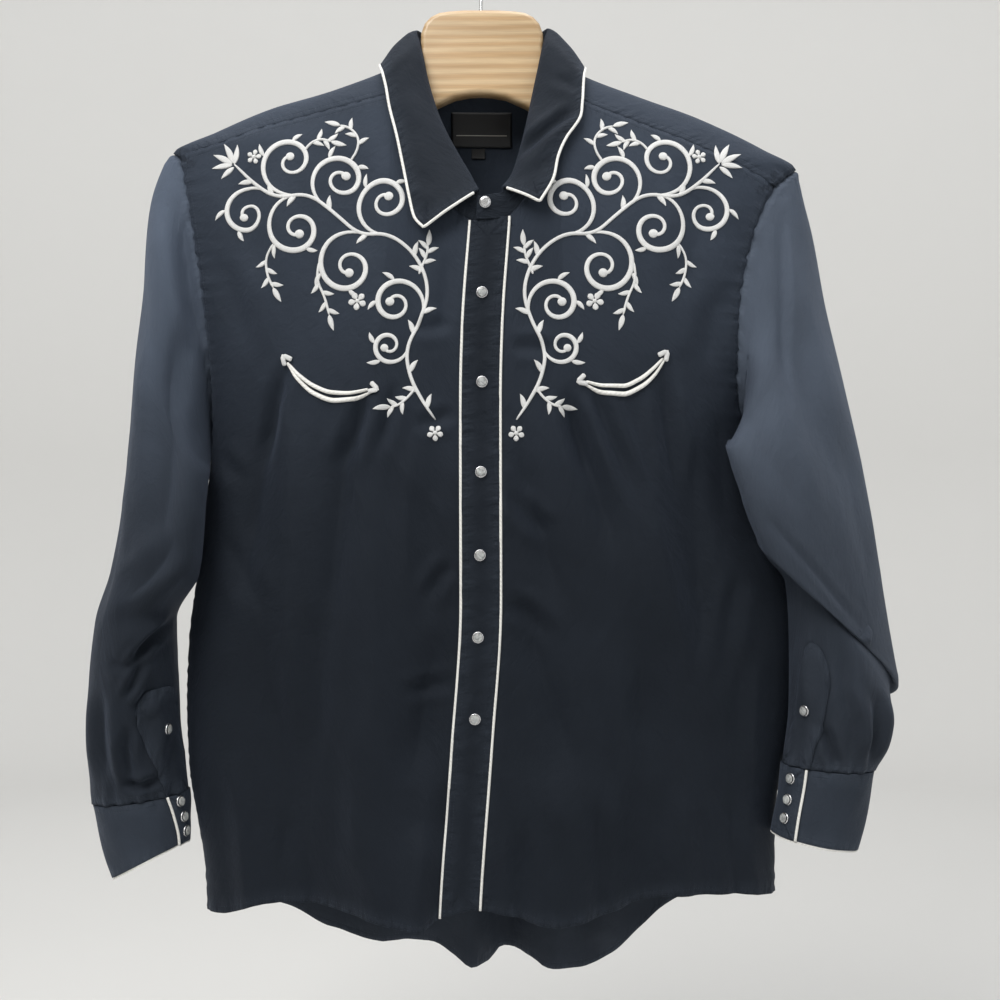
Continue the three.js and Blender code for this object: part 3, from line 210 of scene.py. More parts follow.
CREASES[BACK] = table("x drop midX midDrop toX toDrop width height hook runs", [
    [22, 520, 21, 765, 20, 1010, 15, 22, 0, 1],
    [-14, 560, -13, 785, -12, 1010, 20, -10, 0, 1],
    [66, 540, 70, 775, 74, 1010, 26, -9, 0, 1],
    [-120, 420, -130, 690, -140, 960, 24, 8, 0, 1],
    [-190, 380, -198, 640, -205, 900, 18, -7, 0, 0],
    [150, 400, 161, 670, 172, 940, 22, 7, 0, 1],
    [210, 420, 216, 650, 222, 880, 18, -7, 0, 0],
    [-70, 350, -78, 470, -96, 620, 12, 3.0, 0.6, 0],
    [84, 340, 96, 460, 112, 600, 12, -3.0, 0.6, 0],
    [-226, 300, -206, 360, -176, 430, 10, -3.2, 0.7, 0],
    [230, 300, 206, 360, 180, 420, 10, -3.0, 0.7, 0],
    [-40, 640, -52, 780, -60, 930, 14, 4.0, 0.5, 1],
    [110, 660, 118, 800, 120, 960, 14, -4.0, 0.5, 1],
    [-160, 640, -166, 760, -170, 900, 12, -3.6, 0.5, 0],
    [-96, 760, -94, 860, -100, 1000, 13, -3.8, 0.5, 1],
    [176, 620, 184, 740, 186, 880, 12, 3.4, 0.5, 0],
    [-30, 380, 0, 396, 34, 390, 9, -2.4, 0.6, 0],
])
side_out = {side: curve(rows["drop"], rows["out"]) for side, rows in SIDE_SEAM.items()}
depth_of = {FRONT: curve(DEPTH["drop"], DEPTH["front"]), BACK: curve(DEPTH["drop"], DEPTH["back"])}
centre_x = curve(CENTRE["drop"], CENTRE["x"])
front_hem = curve(FRONT_HEM["x"], FRONT_HEM["drop"])
armhole_out = {
    (side, face): curve(rows["drop"], rows["front" if face == FRONT else "back"])
    for side, rows in ARMHOLE.items() for face in (FRONT, BACK)
}
shoulder_seam = {side: curve(rows["out"], rows["drop"]) for side, rows in SHOULDER_SEAM.items()}


FOLD_DEPTH = 1.6


def crease_height(rows, x, drop):
    """The height of all the folds of a table at points seen from the front."""
    height = np.zeros(np.shape(x))
    lines = zip(*(rows[name] for name in "x drop midX midDrop toX toDrop width height hook runs".split()))
    for x0, d0, x1, d1, x2, d2, width, tall, hook, runs in lines:
        steps = np.linspace(0, 1, 9)
        bend = np.array([2 * x1 - (x0 + x2) / 2, 2 * d1 - (d0 + d2) / 2])
        knots = (
            np.outer((1 - steps) ** 2, [x0, d0]) + np.outer(2 * steps * (1 - steps), bend)
            + np.outer(steps**2, [x2, d2])
        )
        reach = 4 * width + 2
        near = (x > knots[:, 0].min() - reach) & (x < knots[:, 0].max() + reach)
        near &= (drop > knots[:, 1].min() - reach) & (drop < knots[:, 1].max() + reach)
        if not near.any():
            continue
        px, pd = x[near], drop[near]
        best, off, along = np.full(px.shape, 1e9), np.zeros(px.shape), np.zeros(px.shape)
        for k in range(8):
            (ax, ad), (bx, bd) = knots[k], knots[k + 1]
            ex, ed = bx - ax, bd - ad
            length = np.hypot(ex, ed)
            t = np.clip(((px - ax) * ex + (pd - ad) * ed) / length**2, 0, 1)
            gap = np.hypot(px - ax - t * ex, pd - ad - t * ed)
            across = ((px - ax) * ed - (pd - ad) * ex) / length
            closer = gap < best
            best = np.where(closer, gap, best)
            off = np.where(closer, np.copysign(gap, across), off)
            along = np.where(closer, (k + t) / 8, along)
        taper = ease(along / 0.35) * (1 if runs else ease((1 - along) / 0.35))
        wave = np.exp(-(np.abs(off / width) ** 1.45)) - hook * np.exp(-(((np.abs(off) - 1.9 * width) / width) ** 2))
        height[near] += tall * taper * wave
    return height


WRINKLES = table("across down phase tall", [
    [0.050, 0.004, 0.4, 1.5], [0.034, -0.012, 2.0, 1.7], [0.061, 0.017, 4.4, 1.0], [0.043, -0.021, 1.1, 1.1],
])


def slack(x, drop):
    """The unevenness of cloth that hangs freely: broad billows and crooked, broken small wrinkles."""
    sway = x + 16 * np.sin(0.017 * drop + 0.8) + 7 * np.sin(0.041 * drop + 0.021 * x + 2.1)
    height = 1.3 * np.sin(0.029 * sway + 0.3) * np.sin(0.0061 * drop + 1.2)
    height += 0.8 * np.sin(0.047 * sway - 0.01 * drop + 2.0) + 0.25 * np.sin(0.11 * x + 0.03 * drop)
    for across, down, phase, tall in zip(*WRINKLES.values()):
        line = (1 - np.abs(np.sin(across * sway + down * drop + phase))) ** 4
        patch = ease(0.15 + np.sin(0.017 * drop + 0.013 * x + 3 * phase) * np.sin(0.009 * drop - 0.023 * x + phase))
        height += tall * line * patch * ease((drop - 330) / 160)
    return height


def shell(face, x, drop, out=0.0):
    """Points of the body's cloth at (x, drop), "out" off its outer face."""
    x, drop = np.broadcast_arrays(np.asarray(x, float), np.asarray(drop, float))
    to_right = x < 0
    wide = lambda d: np.where(to_right, side_out[RIGHT](d), side_out[LEFT](d))
    side, depth = wide(drop), depth_of[face](drop)
    side_slope = wide(drop + 0.5) - wide(drop - 0.5)
    depth_slope = depth_of[face](drop + 0.5) - depth_of[face](drop - 0.5)
    u = np.clip(np.abs(x) / side, 0, 1)
    inward = np.maximum(1 - u * u, 1e-7)
    sign = np.where(to_right, -1.0, 1.0)
    normal = np.stack([
        2 * u * sign / side, (face / 0.42) * inward**0.58 / depth,
        2 * u * u * side_slope / side + inward / 0.42 * depth_slope / depth,
    ], -1)
    normal /= np.linalg.norm(normal, axis=-1, keepdims=True)
    height = (FOLD_DEPTH * crease_height(CREASES[face], x, drop) + slack(x, drop)) * (1 - u**8)
    spot = np.stack([np.where(u >= 1, sign * side, x), face * depth * inward**0.42, -drop], -1)
    return spot + normal * (height + out)[..., None]


def front_outline(side):
    """A map from shares across and down a front to (x, drop) on the body."""
    seams = SHOULDER_SEAM[side]["out"]
    neck = path(NECKLINE[side])
    under = ARMHOLE[side]["drop"][-1]
    neck_share, armhole_share = 5 / 13, 7 / 20

    def shoulder(s):
        out = mix(seams[0], seams[-1], s)
        return np.stack([side * out, shoulder_seam[side](out)], -1)

    def top(u):
        on_neck = neck(np.clip(u / neck_share, 0, 1))
        return np.where((u < neck_share)[..., None], on_neck, shoulder((u - neck_share) / (1 - neck_share)))

    def outer(v):
        corner = shoulder(np.array(1.0))[1]
        arm = mix(corner, under, np.clip(v / armhole_share, 0, 1))
        hem = front_hem(side * side_out[side](915))
        low = mix(under, hem, np.clip((v - armhole_share) / (1 - armhole_share), 0, 1))
        on_arm = np.stack([side * armhole_out[side, FRONT](arm), arm], -1)
        on_side = np.stack([side * side_out[side](low), low], -1)
        return np.where((v <= armhole_share)[..., None], on_arm, on_side)

    def line(offset, start):
        def at(v):
            drop = mix(start, front_hem(centre_x(905) + offset), v)
            return np.stack([centre_x(drop) + offset, drop], -1)
        return at

    inner = line(side * PLACKET_WIDTH / 2, neck(0.0)[1])
    lap = line(UNDERLAP, 281)

    def spot(u, v):
        u, v = np.broadcast_arrays(np.asarray(u, float), np.asarray(v, float))
        on_lap = u < 0
        share = np.clip(u, 0, 1)
        w = mix(share, np.sin(share * np.pi / 2), ease(2 * v))
        zero, one = np.zeros_like(v), np.ones_like(v)
        low_x = mix(inner(one)[..., 0], outer(one)[..., 0], w)
        low = np.stack([low_x, front_hem(low_x)], -1)
        low_start = np.stack([inner(one)[..., 0], front_hem(inner(one)[..., 0])], -1)
        low_end = np.stack([outer(one)[..., 0], front_hem(outer(one)[..., 0])], -1)
        v1, w1 = v[..., None], w[..., None]
        patch = (
            (1 - v1) * top(share) + v1 * low + (1 - w1) * inner(v) + w1 * outer(v)
            - (1 - v1) * ((1 - w1) * top(zero) + w1 * top(one)) - v1 * ((1 - w1) * low_start + w1 * low_end)
        )
        lapped = mix(inner(v), lap(v), np.clip(-u, 0, 1)[..., None])
        return np.where(on_lap[..., None], lapped, patch)

    return spot


def make_piece(name, points, faces, smooth=True):
    """A mesh object from points in millimetres."""
    mesh = bpy.data.meshes.new(name)
    mesh.from_pydata((np.asarray(points) * 0.001).tolist(), [], faces)
    mesh.validate()
    if smooth:
        mesh.shade_smooth()
    piece = bpy.data.objects.new(name, mesh)
    bpy.context.scene.collection.objects.link(piece)
    return piece


def give_map(mesh, name, per_point):
    """A UV map that holds two numbers for each point."""
    corners = np.zeros(len(mesh.loops), np.int32)
    mesh.loops.foreach_get("vertex_index", corners)
    layer = mesh.uv_layers.new(name=name)
    layer.data.foreach_set("uv", np.asarray(per_point, np.float32)[corners].ravel())


def apply_modifier(piece, kind, **settings):
    """Adds a modifier to a piece and applies it."""
    bpy.ops.object.select_all(action="DESELECT")
    piece.select_set(True)
    bpy.context.view_layer.objects.active = piece
    modifier = piece.modifiers.new(kind.title(), kind)
    for key, value in settings.items():
        setattr(modifier, key, value)
    bpy.ops.object.modifier_apply(modifier=modifier.name)


def panel(name, grid, thickness, seams=("left", "right", "top", "bottom"), ring=False, flip=False, skip=None):
    """A sheet of cloth from a grid of points of its outer face.

    Its "weave" map is in metres of cloth, and its "seam" map holds the run along the nearest
    sewn edge and the distance from it, in metres.
    """
    grid = np.asarray(grid, float)
    across, down = grid.shape[:2]
    if ring:
        grid = np.concatenate([grid, grid[:1]], 0)
        across += 1
    step_u = np.linalg.norm(np.diff(grid, axis=0), axis=2)
    step_v = np.linalg.norm(np.diff(grid, axis=1), axis=2)
    run_u = np.concatenate([np.zeros((1, down)), np.cumsum(step_u, 0)], 0)
    run_v = np.concatenate([np.zeros((across, 1)), np.cumsum(step_v, 1)], 1)
    weave = np.stack([run_u - run_u.max(0, keepdims=True) / 2, run_v], -1) * 0.001
    edges = {
        "left": (run_u, run_v), "right": (run_u.max(0, keepdims=True) - run_u, run_v + 400),
        "top": (run_v, run_u + 900), "bottom": (run_v.max(1, keepdims=True) - run_v, run_u + 1700),
    }
    nearest, along = np.full((across, down), 1e3), np.zeros((across, down))
    for edge in seams:
        off, run = edges[edge]
        closer = off < nearest
        nearest, along = np.where(closer, off, nearest), np.where(closer, run, along)
    seam = np.stack([along, nearest], -1) * 0.001
    index = np.arange(across * down).reshape(across, down)
    a, b, c, d = index[:-1, :-1], index[1:, :-1], index[1:, 1:], index[:-1, 1:]
    faces = np.stack([a, d, c, b] if flip else [a, b, c, d], -1).reshape(-1, 4)
    if skip is not None:
        faces = faces[~skip.ravel()]
    piece = make_piece(name, grid.reshape(-1, 3), faces.tolist())
    give_map(piece.data, "weave", weave.reshape(-1, 2))
    give_map(piece.data, "seam", seam.reshape(-1, 2))
    if ring or skip is not None:
        bm = bmesh.new()
        bm.from_mesh(piece.data)
        bmesh.ops.remove_doubles(bm, verts=bm.verts, dist=1e-6)
        bmesh.ops.delete(bm, geom=[v for v in bm.verts if not v.link_faces], context="VERTS")
        bm.to_mesh(piece.data)
        bm.free()
    apply_modifier(piece, "SOLIDIFY", thickness=thickness * 0.001, offset=-1)
    return piece


def pucker(distance, run, reach=11, tall=0.9, pitch=13):
    """Gathering beside a seam: uneven small waves that die out away from it."""
    wander = 2.4 * np.sin(run / 31) + 1.7 * np.sin(run / 17 + 2) + 0.02 * distance
    waves = np.sin(2 * np.pi * run / pitch + wander) + 0.6 * np.sin(2 * np.pi * run / (pitch * 0.63) + 2 * wander)
    strength = 0.65 + 0.35 * np.sin(run / 43 + 1) * np.sin(run / 23)
    return tall * strength * waves * np.exp(-distance / reach)


def edge_gather(distance, drop, under):
    """The gathers that two panels share at the side seam and armhole, so that their edges meet."""
    strength = mix(1.3, 0.75, ease((drop - under) / 40))
    return strength * pucker(distance, drop, 15, 1.0) - 1.4 * np.exp(-distance / 3)


def shift_out(grid, height, flip=1):
    """Moves the points of a grid along its own normals by the height at each."""
    du, dv = np.gradient(grid, axis=0), np.gradient(grid, axis=1)
    normal = np.cross(du, dv) * flip
    normal /= np.maximum(np.linalg.norm(normal, axis=-1, keepdims=True), 1e-9)
    return grid + normal * height[..., None]


def runs(grid):
    """The run across and the run down a grid, in millimetres."""
    step_u = np.linalg.norm(np.diff(grid, axis=0), axis=2)
    step_v = np.linalg.norm(np.diff(grid, axis=1), axis=2)
    across = np.concatenate([np.zeros((1, grid.shape[1])), np.cumsum(step_u, 0)], 0)
    down = np.concatenate([np.zeros((grid.shape[0], 1)), np.cumsum(step_v, 1)], 1)
    return across, down


def link(tree, source, target):
    tree.links.new(source, target)


def node(tree, kind, **inputs):
    """A shader node with its inputs set: a socket is linked, and anything else is a value."""
    made = tree.nodes.new("ShaderNode" + kind)
    for key, value in inputs.items():
        if key.startswith("set_"):
            setattr(made, key[4:], value)
            continue
        socket = made.inputs[int(key[1:])] if key[0] == "_" else made.inputs[key.replace("_", " ")]
        if isinstance(value, bpy.types.NodeSocket):
            link(tree, value, socket)
        else:
            socket.default_value = value
    return made


def maths(tree, operation, a, b=0.0, clamp=False):
    return node(tree, "Math", set_operation=operation, set_use_clamp=clamp, _0=a, _1=b).outputs[0]


def new_finish(name):
    """A material with its shader, for its section to fill in."""
    finish = bpy.data.materials.new(name)
    finish.use_nodes = True
    tree = finish.node_tree
    shader = next(n for n in tree.nodes if n.type == "BSDF_PRINCIPLED")
    return finish, tree, shader


def shirting_finish(name, base, worn, stitches, painted_top_light=1.0, low=-0.62, high=-0.16):
    """Dark plain-woven cotton: fine crossed yarns, gathered and slightly faded seams, stitching.

    "stitches" lists the distances of the stitch lines from the nearest edge, in metres, and the
    number after it says how many times paler the cloth is painted at the height "high" than at "low",
    a painted light that stands in for light falling from above.
    """
    finish, tree, shader = new_finish(name)
    weave = node(tree, "UVMap", set_uv_map="weave").outputs[0]
    seam = node(tree, "UVMap", set_uv_map="seam").outputs[0]
    split = node(tree, "SeparateXYZ", Vector=seam)
    run, off = split.outputs[0], split.outputs[1]
    yarns = []
    for direction in ("X", "Y"):
        yarns.append(node(
            tree, "TexWave", set_wave_type="BANDS", set_bands_direction=direction, Vector=weave,
            Scale=520.0, Distortion=1.2, Detail=1.0, Detail_Scale=0.6,
        ).outputs["Fac"])
    slub = node(tree, "TexNoise", Vector=weave, Scale=900.0, Detail=3.0, Roughness=0.7).outputs["Fac"]
    crinkle = node(tree, "TexNoise", Vector=weave, Scale=65.0, Detail=3.0, Roughness=0.55, Distortion=0.6).outputs["Fac"]
    crumple = node(tree, "TexNoise", Vector=weave, Scale=210.0, Detail=2.0, Roughness=0.6).outputs["Fac"]
    cloth = maths(tree, "MULTIPLY", maths(tree, "ADD", yarns[0], yarns[1]), 0.05)
    cloth = maths(tree, "ADD", cloth, maths(tree, "MULTIPLY", slub, 0.09))
    cloth = maths(tree, "ADD", cloth, maths(tree, "MULTIPLY", crinkle, 1.1))
    cloth = maths(tree, "ADD", cloth, maths(tree, "MULTIPLY", crumple, 0.35))
    near = node(tree, "MapRange", set_interpolation_type="SMOOTHSTEP", Value=off).outputs[0]
    near.node.inputs[1].default_value = 0.0
    near.node.inputs[2].default_value = 0.018
    near.node.inputs[3].default_value = 1.0
    near.node.inputs[4].default_value = 0.0
    gather_at = node(tree, "CombineXYZ", X=maths(tree, "MULTIPLY", run, 150.0), Y=maths(tree, "MULTIPLY", off, 38.0)).outputs[0]
    gather = node(tree, "TexNoise", Vector=gather_at, Scale=1.0, Detail=2.0, Roughness=0.5).outputs["Fac"]
    gather = maths(tree, "MULTIPLY", maths(tree, "SUBTRACT", gather, 0.5), maths(tree, "MULTIPLY", near, 3.2))
    height = maths(tree, "ADD", cloth, gather)
    dash = maths(tree, "GREATER_THAN", maths(tree, "FRACT", maths(tree, "MULTIPLY", run, 1 / 0.0028)), 0.22)
    thread = None
    for distance in stitches:
        gap = maths(tree, "ABSOLUTE", maths(tree, "SUBTRACT", off, distance))
        line = maths(tree, "SUBTRACT", 1.0, maths(tree, "MULTIPLY", gap, 1 / 0.0007), clamp=True)
        thread = line if thread is None else maths(tree, "MAXIMUM", thread, line)
    if thread is not None:
        groove = maths(tree, "MULTIPLY", thread, -0.7)
        stitched = maths(tree, "MULTIPLY", maths(tree, "MULTIPLY", thread, dash), 0.6)
        height = maths(tree, "ADD", height, maths(tree, "ADD", groove, stitched))
    bump = node(tree, "Bump", Strength=1.0, Distance=0.001, Height=height)
    link(tree, bump.outputs[0], shader.inputs["Normal"])
    where = node(tree, "TexCoord").outputs["Object"]
    cloudy = node(tree, "TexNoise", Vector=where, Scale=9.0, Detail=4.0, Roughness=0.6).outputs["Fac"]
    # Painted light: the colour is multiplied up from 1 at the low height to the given number at the high one, standing
    # in for light from above.
    painted_top_light_ramp = node(tree, "MapRange", set_interpolation_type="SMOOTHSTEP", Value=node(tree, "SeparateXYZ", Vector=where).outputs[2])
    for k, value in enumerate([low, high, 1.0, painted_top_light], 1):
        painted_top_light_ramp.inputs[k].default_value = value
    worn_share = maths(tree, "MULTIPLY", near, maths(tree, "MULTIPLY", slub, 1.5), clamp=True)
    worn_share = maths(tree, "MULTIPLY", worn_share, maths(tree, "ADD", maths(tree, "MULTIPLY", gather, 0.5), 0.42), clamp=True)
    tone = node(tree, "MapRange", Value=cloudy)
    for k, value in enumerate([0.3, 0.7, 0.84, 1.14], 1):
        tone.inputs[k].default_value = value
    cloth_colour = node(tree, "MixRGB", set_blend_type="MULTIPLY", Fac=1.0, Color1=(*base, 1), Color2=tone.outputs[0]).outputs[0]
    # Painted light: the base colour times the painted top light.
    cloth_colour = node(tree, "MixRGB", set_blend_type="MULTIPLY", Fac=1.0, Color1=cloth_colour, Color2=painted_top_light_ramp.outputs[0]).outputs[0]
    faded = node(tree, "MixRGB", Fac=worn_share, Color1=cloth_colour, Color2=(*worn, 1)).outputs[0]
    link(tree, faded, shader.inputs["Base Color"])
    link(tree, maths(tree, "ADD", maths(tree, "MULTIPLY", slub, 0.2), 0.56), shader.inputs["Roughness"])
    shader.inputs["Sheen Weight"].default_value = 0.10
    shader.inputs["Sheen Roughness"].default_value = 0.45
    shader.inputs["Sheen Tint"].default_value = (0.55, 0.66, 0.9, 1)
    shader.inputs["Specular IOR Level"].default_value = 0.13
    shader.inputs["Specular Tint"].default_value = (0.78, 0.88, 1.0, 1)
    return finish


INK = (0.0088, 0.0112, 0.0158)
FADED = (0.026, 0.032, 0.043)
# Painted light: the fronts and yoke are painted up to 3.2 times paler from a drop of 620 mm up to 160 mm, as if lit
# from above.
shirting = shirting_finish("shirting", INK, FADED, [0.0016, 0.006], 3.2)


def dress(piece, finish, slot, *nodes):
    """Gives a piece its finish, hangs it under the root and hides any parts it stands in for."""
    piece.data.materials.clear()
    piece.data.materials.append(finish)
    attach(piece, "root")
    if nodes:
        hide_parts(*nodes)
    return piece


FRONT_NAMES = {RIGHT: "right_front", LEFT: "left_front"}
FRONT_COLUMNS, FRONT_ROWS = 100, 214
fronts = {}
front_maps = {}
for side in (RIGHT, LEFT):
    front_maps[side] = front_outline(side)
    shares = np.concatenate([np.linspace(-1, 0, 6)[:-1], np.linspace(0, 1, FRONT_COLUMNS)])
    spots = front_maps[side](shares[:, None], np.linspace(0, 1, FRONT_ROWS)[None, :])
    grid = shell(FRONT, spots[..., 0], spots[..., 1])
    if side == LEFT:
        grid[:5, :, 1] += 0.9
    across, down = runs(grid)
    edge = across.max(0, keepdims=True) - across
    waves = edge_gather(edge, -grid[..., 2], ARMHOLE[side]["drop"][-1])
    waves += pucker(down.max(1, keepdims=True) - down, across, 7, 0.5, 17)
    waves += pucker(down, across, 8, 0.45, 15) * (shares > 0.38)[:, None]
    waves *= ease(across / 60)
    grid = shift_out(grid, waves, -1 if side == LEFT else 1)
    fronts[side] = panel(FRONT_NAMES[side], grid, CLOTH, flip=side == LEFT)
    dress(fronts[side], shirting, "shirting", "front_right" if side == RIGHT else "front_left")

# Yoke. One panel over both shoulders, from the forward seams at the front to a shallow point on
# the back. It is the same cotton, topstitched along its seams and gathered at the armholes.
NECK_OUT = 79
YOKE_SEAM = table("out drop", [[0, 338], [40, 314], [100, 292], [180, 276], [250, 268], [290, 265]])
yoke_seam = curve(YOKE_SEAM["out"], YOKE_SEAM["drop"])


def ridge_drop(side, out):
    drops = np.linspace(112, ARMHOLE[side]["drop"][0], 400)
    return np.interp(out, side_out[side](drops), drops)


def back_neck(x):
    ends = np.where(x < 0, ridge_drop(RIGHT, NECK_OUT), ridge_drop(LEFT, NECK_OUT))
    return 131 - (131 - ends) * (x / NECK_OUT) ** 2


yoke_end = {side: float(yoke_seam(armhole_out[side, BACK](266))) for side in (RIGHT, LEFT)}
yoke_arm = {side: float(armhole_out[side, BACK](yoke_end[side])) for side in (RIGHT, LEFT)}


def yoke_spot(side, face, s, t):
    """(x, drop) on the yoke: s runs from neck to armhole, t from the ridge to the seam."""
    s, t = np.broadcast_arrays(np.asarray(s, float), np.asarray(t, float))
    tip = ARMHOLE[side]["drop"][0]
    seams = SHOULDER_SEAM[side]["out"]
    front_end = float(shoulder_seam[side](seams[-1]))
    reach = t ** (1.7 if face == FRONT else 2.2)
    arm_drop = mix(tip, front_end if face == FRONT else yoke_end[side], reach)
    neck = mix(NECK_OUT, seams[0], t) if face == FRONT else NECK_OUT + 0 * t
    x = mix(neck, armhole_out[side, face](arm_drop), s)
    ridge = ridge_drop(side, mix(NECK_OUT, side_out[side](tip), s))
    if face == FRONT:
        seam = shoulder_seam[side](mix(seams[0], seams[-1], s))
    else:
        seam = yoke_seam(mix(NECK_OUT, yoke_arm[side], s))
    return np.stack([side * x, mix(ridge, seam, reach)], -1)


SHOULDER_STEPS, NECK_STEPS, FORE_STEPS, AFT_STEPS = 62, 44, 22, 40
arm_shares = np.linspace(0, 1, SHOULDER_STEPS + 1)
neck_x = np.linspace(-NECK_OUT, NECK_OUT, NECK_STEPS + 1)[1:-1]
fore, aft = np.linspace(1, 0, FORE_STEPS + 1), np.linspace(0, 1, AFT_STEPS + 1)


def yoke_block(side):
    before = yoke_spot(side, FRONT, arm_shares[:, None], fore[None, :])
    behind = yoke_spot(side, BACK, arm_shares[:, None], aft[None, 1:])
    return np.concatenate([
        shell(FRONT, before[..., 0], before[..., 1]), shell(BACK, behind[..., 0], behind[..., 1]),
    ], 1)


neck_power = 1.7 + 0.5 * (np.abs(neck_x) / NECK_OUT) ** 4
neck_drop = mix(back_neck(neck_x)[:, None], yoke_seam(np.abs(neck_x))[:, None], aft[None, :] ** neck_power[:, None])
neck_part = shell(BACK, neck_x[:, None] + 0 * neck_drop, neck_drop)
neck_block = np.concatenate([np.repeat(neck_part[:, :1], FORE_STEPS, 1), neck_part], 1)
yoke_grid = np.concatenate([yoke_block(RIGHT)[::-1], neck_block, yoke_block(LEFT)], 0)


across, down = runs(yoke_grid)
waves = pucker(across, down, 9, 0.6) + pucker(across.max(0, keepdims=True) - across, down, 9, 0.6)
waves += pucker(down.max(1, keepdims=True) - down, across, 6, 0.35, 15)
yoke_grid = shift_out(yoke_grid, waves)
blocked = np.zeros((yoke_grid.shape[0] - 1, yoke_grid.shape[1] - 1), bool)
blocked[SHOULDER_STEPS:SHOULDER_STEPS + NECK_STEPS, :FORE_STEPS] = True
yoke = panel("shoulder_yoke", yoke_grid, CLOTH, skip=blocked)
dress(yoke, shirting, "shirting", "yoke")

# Back. One panel from the yoke seam to the long rounded tail, with the same turned hem.
BACK_HEM = table("x drop", [
    [-262, 924], [-225, 926], [-190, 937], [-151, 961], [-111, 972], [-52, 973], [-26, 986],
    [-8, 997], [9, 994], [20, 984], [32, 984], [48, 988], [68, 998], [98, 998], [128, 986],
    [157, 961], [197, 929], [240, 912], [283, 908],
])
BACK_ROWS = 196
back_hem = curve(BACK_HEM["x"], BACK_HEM["drop"])


def back_side(side, seam_x, seam_drop, v):
    """(x, drop) of the back below a stretch of the yoke seam."""
    under = ARMHOLE[side]["drop"][-1]
    share_down = 5 / 18
    arm = mix(yoke_end[side], under, np.clip(v / share_down, 0, 1))
    low = mix(under, back_hem(side * side_out[side](920)), np.clip((v - share_down) / (1 - share_down), 0, 1))
    on_arm = v <= share_down
    edge_drop = np.where(on_arm, arm, low)
    edge_x = np.where(on_arm, armhole_out[side, BACK](arm), side_out[side](low))
    fraction = np.abs(seam_x) / yoke_arm[side]
    share = mix(fraction, np.sin(fraction * np.pi / 2), ease(2 * v))
    x = side * share * edge_x
    to_edge = np.where(share > 0.9999, 1, share**6 * np.clip(5 * v, 0, 1))
    return np.stack([x, mix(mix(seam_drop, back_hem(x), v), edge_drop, to_edge)], -1)


down_shares = np.linspace(0, 1, BACK_ROWS)[None, :]
halves = []
for side in (RIGHT, LEFT):
    on_arm = mix(NECK_OUT, yoke_arm[side], arm_shares)
    on_neck = np.linspace(0, NECK_OUT, NECK_STEPS // 2 + 1)[:-1]
    out = np.concatenate([on_neck, on_arm])
    spots = back_side(side, side * out[:, None], yoke_seam(out)[:, None], down_shares)
    halves.append(shell(BACK, spots[..., 0], spots[..., 1]))
back_grid = np.concatenate([halves[0][:0:-1], halves[1]], 0)
across, down = runs(back_grid)
drops = -back_grid[..., 2]
waves = edge_gather(across, drops, ARMHOLE[RIGHT]["drop"][-1])
waves += edge_gather(across.max(0, keepdims=True) - across, drops, ARMHOLE[LEFT]["drop"][-1])
waves += pucker(down.max(1, keepdims=True) - down, across, 7, 0.5, 17) + pucker(down, across, 7, 0.4, 15)
# The deep fold near the centre would stand too far out behind, so its top is eased off.
BACK_REACH, BACK_GIVE = 60, 12
back_form = shift_out(back_grid, waves)
past = np.maximum(back_form[..., 1] - BACK_REACH, 0)
back_form[..., 1] += BACK_GIVE * np.tanh(past / BACK_GIVE) - past
back = panel("back_panel", back_form, CLOTH)
# Painted light: the back is painted about three times paler than the fronts, to lift its inside where it shows in shade
# at the neck and below the front hem.
back_painted_light_cloth = shirting_finish("shirting_back", (0.0270, 0.0325, 0.0430), (0.042, 0.050, 0.066), [0.0016, 0.006], 1.0)
dress(back, back_painted_light_cloth, "shirting", "back")

# Sleeves. Each is one tube of the same cotton, eased into the armhole with a gathered and
# topstitched seam, hanging empty with a bend at the elbow and pleated into its cuff.
RING_NAMES = "ox odrop ix idrop deep y turn lift"
SLEEVE = {
    RIGHT: table(RING_NAMES, [
        [-312, 228, -256, 482, 42, -3, 0.1, 0],
        [-320, 264, -255, 486, 46, -5, 0.15, 0],
        [-322, 318, -254, 492, 52, -8, 0.25, 0],
        [-330.5, 388, -253, 500, 58, -13, 0.4, 0],
        [-340, 463, -249.5, 514, 64, -17, 0.62, 0],
        [-350, 539, -251, 551, 68, -20, 0.68, 0],
        [-357, 600, -259.5, 603, 68, -20, 0.55, 4],
        [-362.7, 652, -288, 646, 62, -18, 0.15, 6],
        [-367.5, 703, -287, 690, 58, -20, 0.1, 0],
        [-369, 757, -285, 742, 50, -20, 0, 0],
        [-366.5, 800, -280, 784, 42, -20, 0, 0],
        [-365.6, 819.3, -277.9, 807, 38, -20, 0, 0],
    ]),
    LEFT: table(RING_NAMES, [
        [304, 244, 256, 485, 42, -4, 0.1, 0],
        [322.6, 288, 242, 485, 48, -11, 0.55, 0],
        [336.5, 347, 227, 484, 56, -14, 0.72, 0],
        [355, 422, 225, 488, 62, -19, 0.76, 0],
        [371.4, 498, 228, 503, 66, -22, 0.78, 0],
        [386, 581, 235, 524, 66, -23, 0.78, 0],
        [397, 660, 243.5, 546, 63, -24, 0.76, -4],
        [403.5, 710, 256, 571, 61, -26, 0.72, -10],
        [402, 712, 255, 575, 50, -22, 0.66, 4],
        [394, 698, 257, 578, 40, -17, 0.52, 36],
        [390, 710, 268, 594, 40, -15, 0.32, 22],
        [388.5, 726, 287, 608, 44, -19, 0.2, 6],
        [387, 742, 291, 664, 44, -24, 0, 0],
        [381, 762, 290, 724, 42, -29, 0, 0],
        [367.5, 784.5, 283.5, 779, 38, -34, 0, 0],
    ]),
}
RING = 20
SLEEVE_CREASES = {}
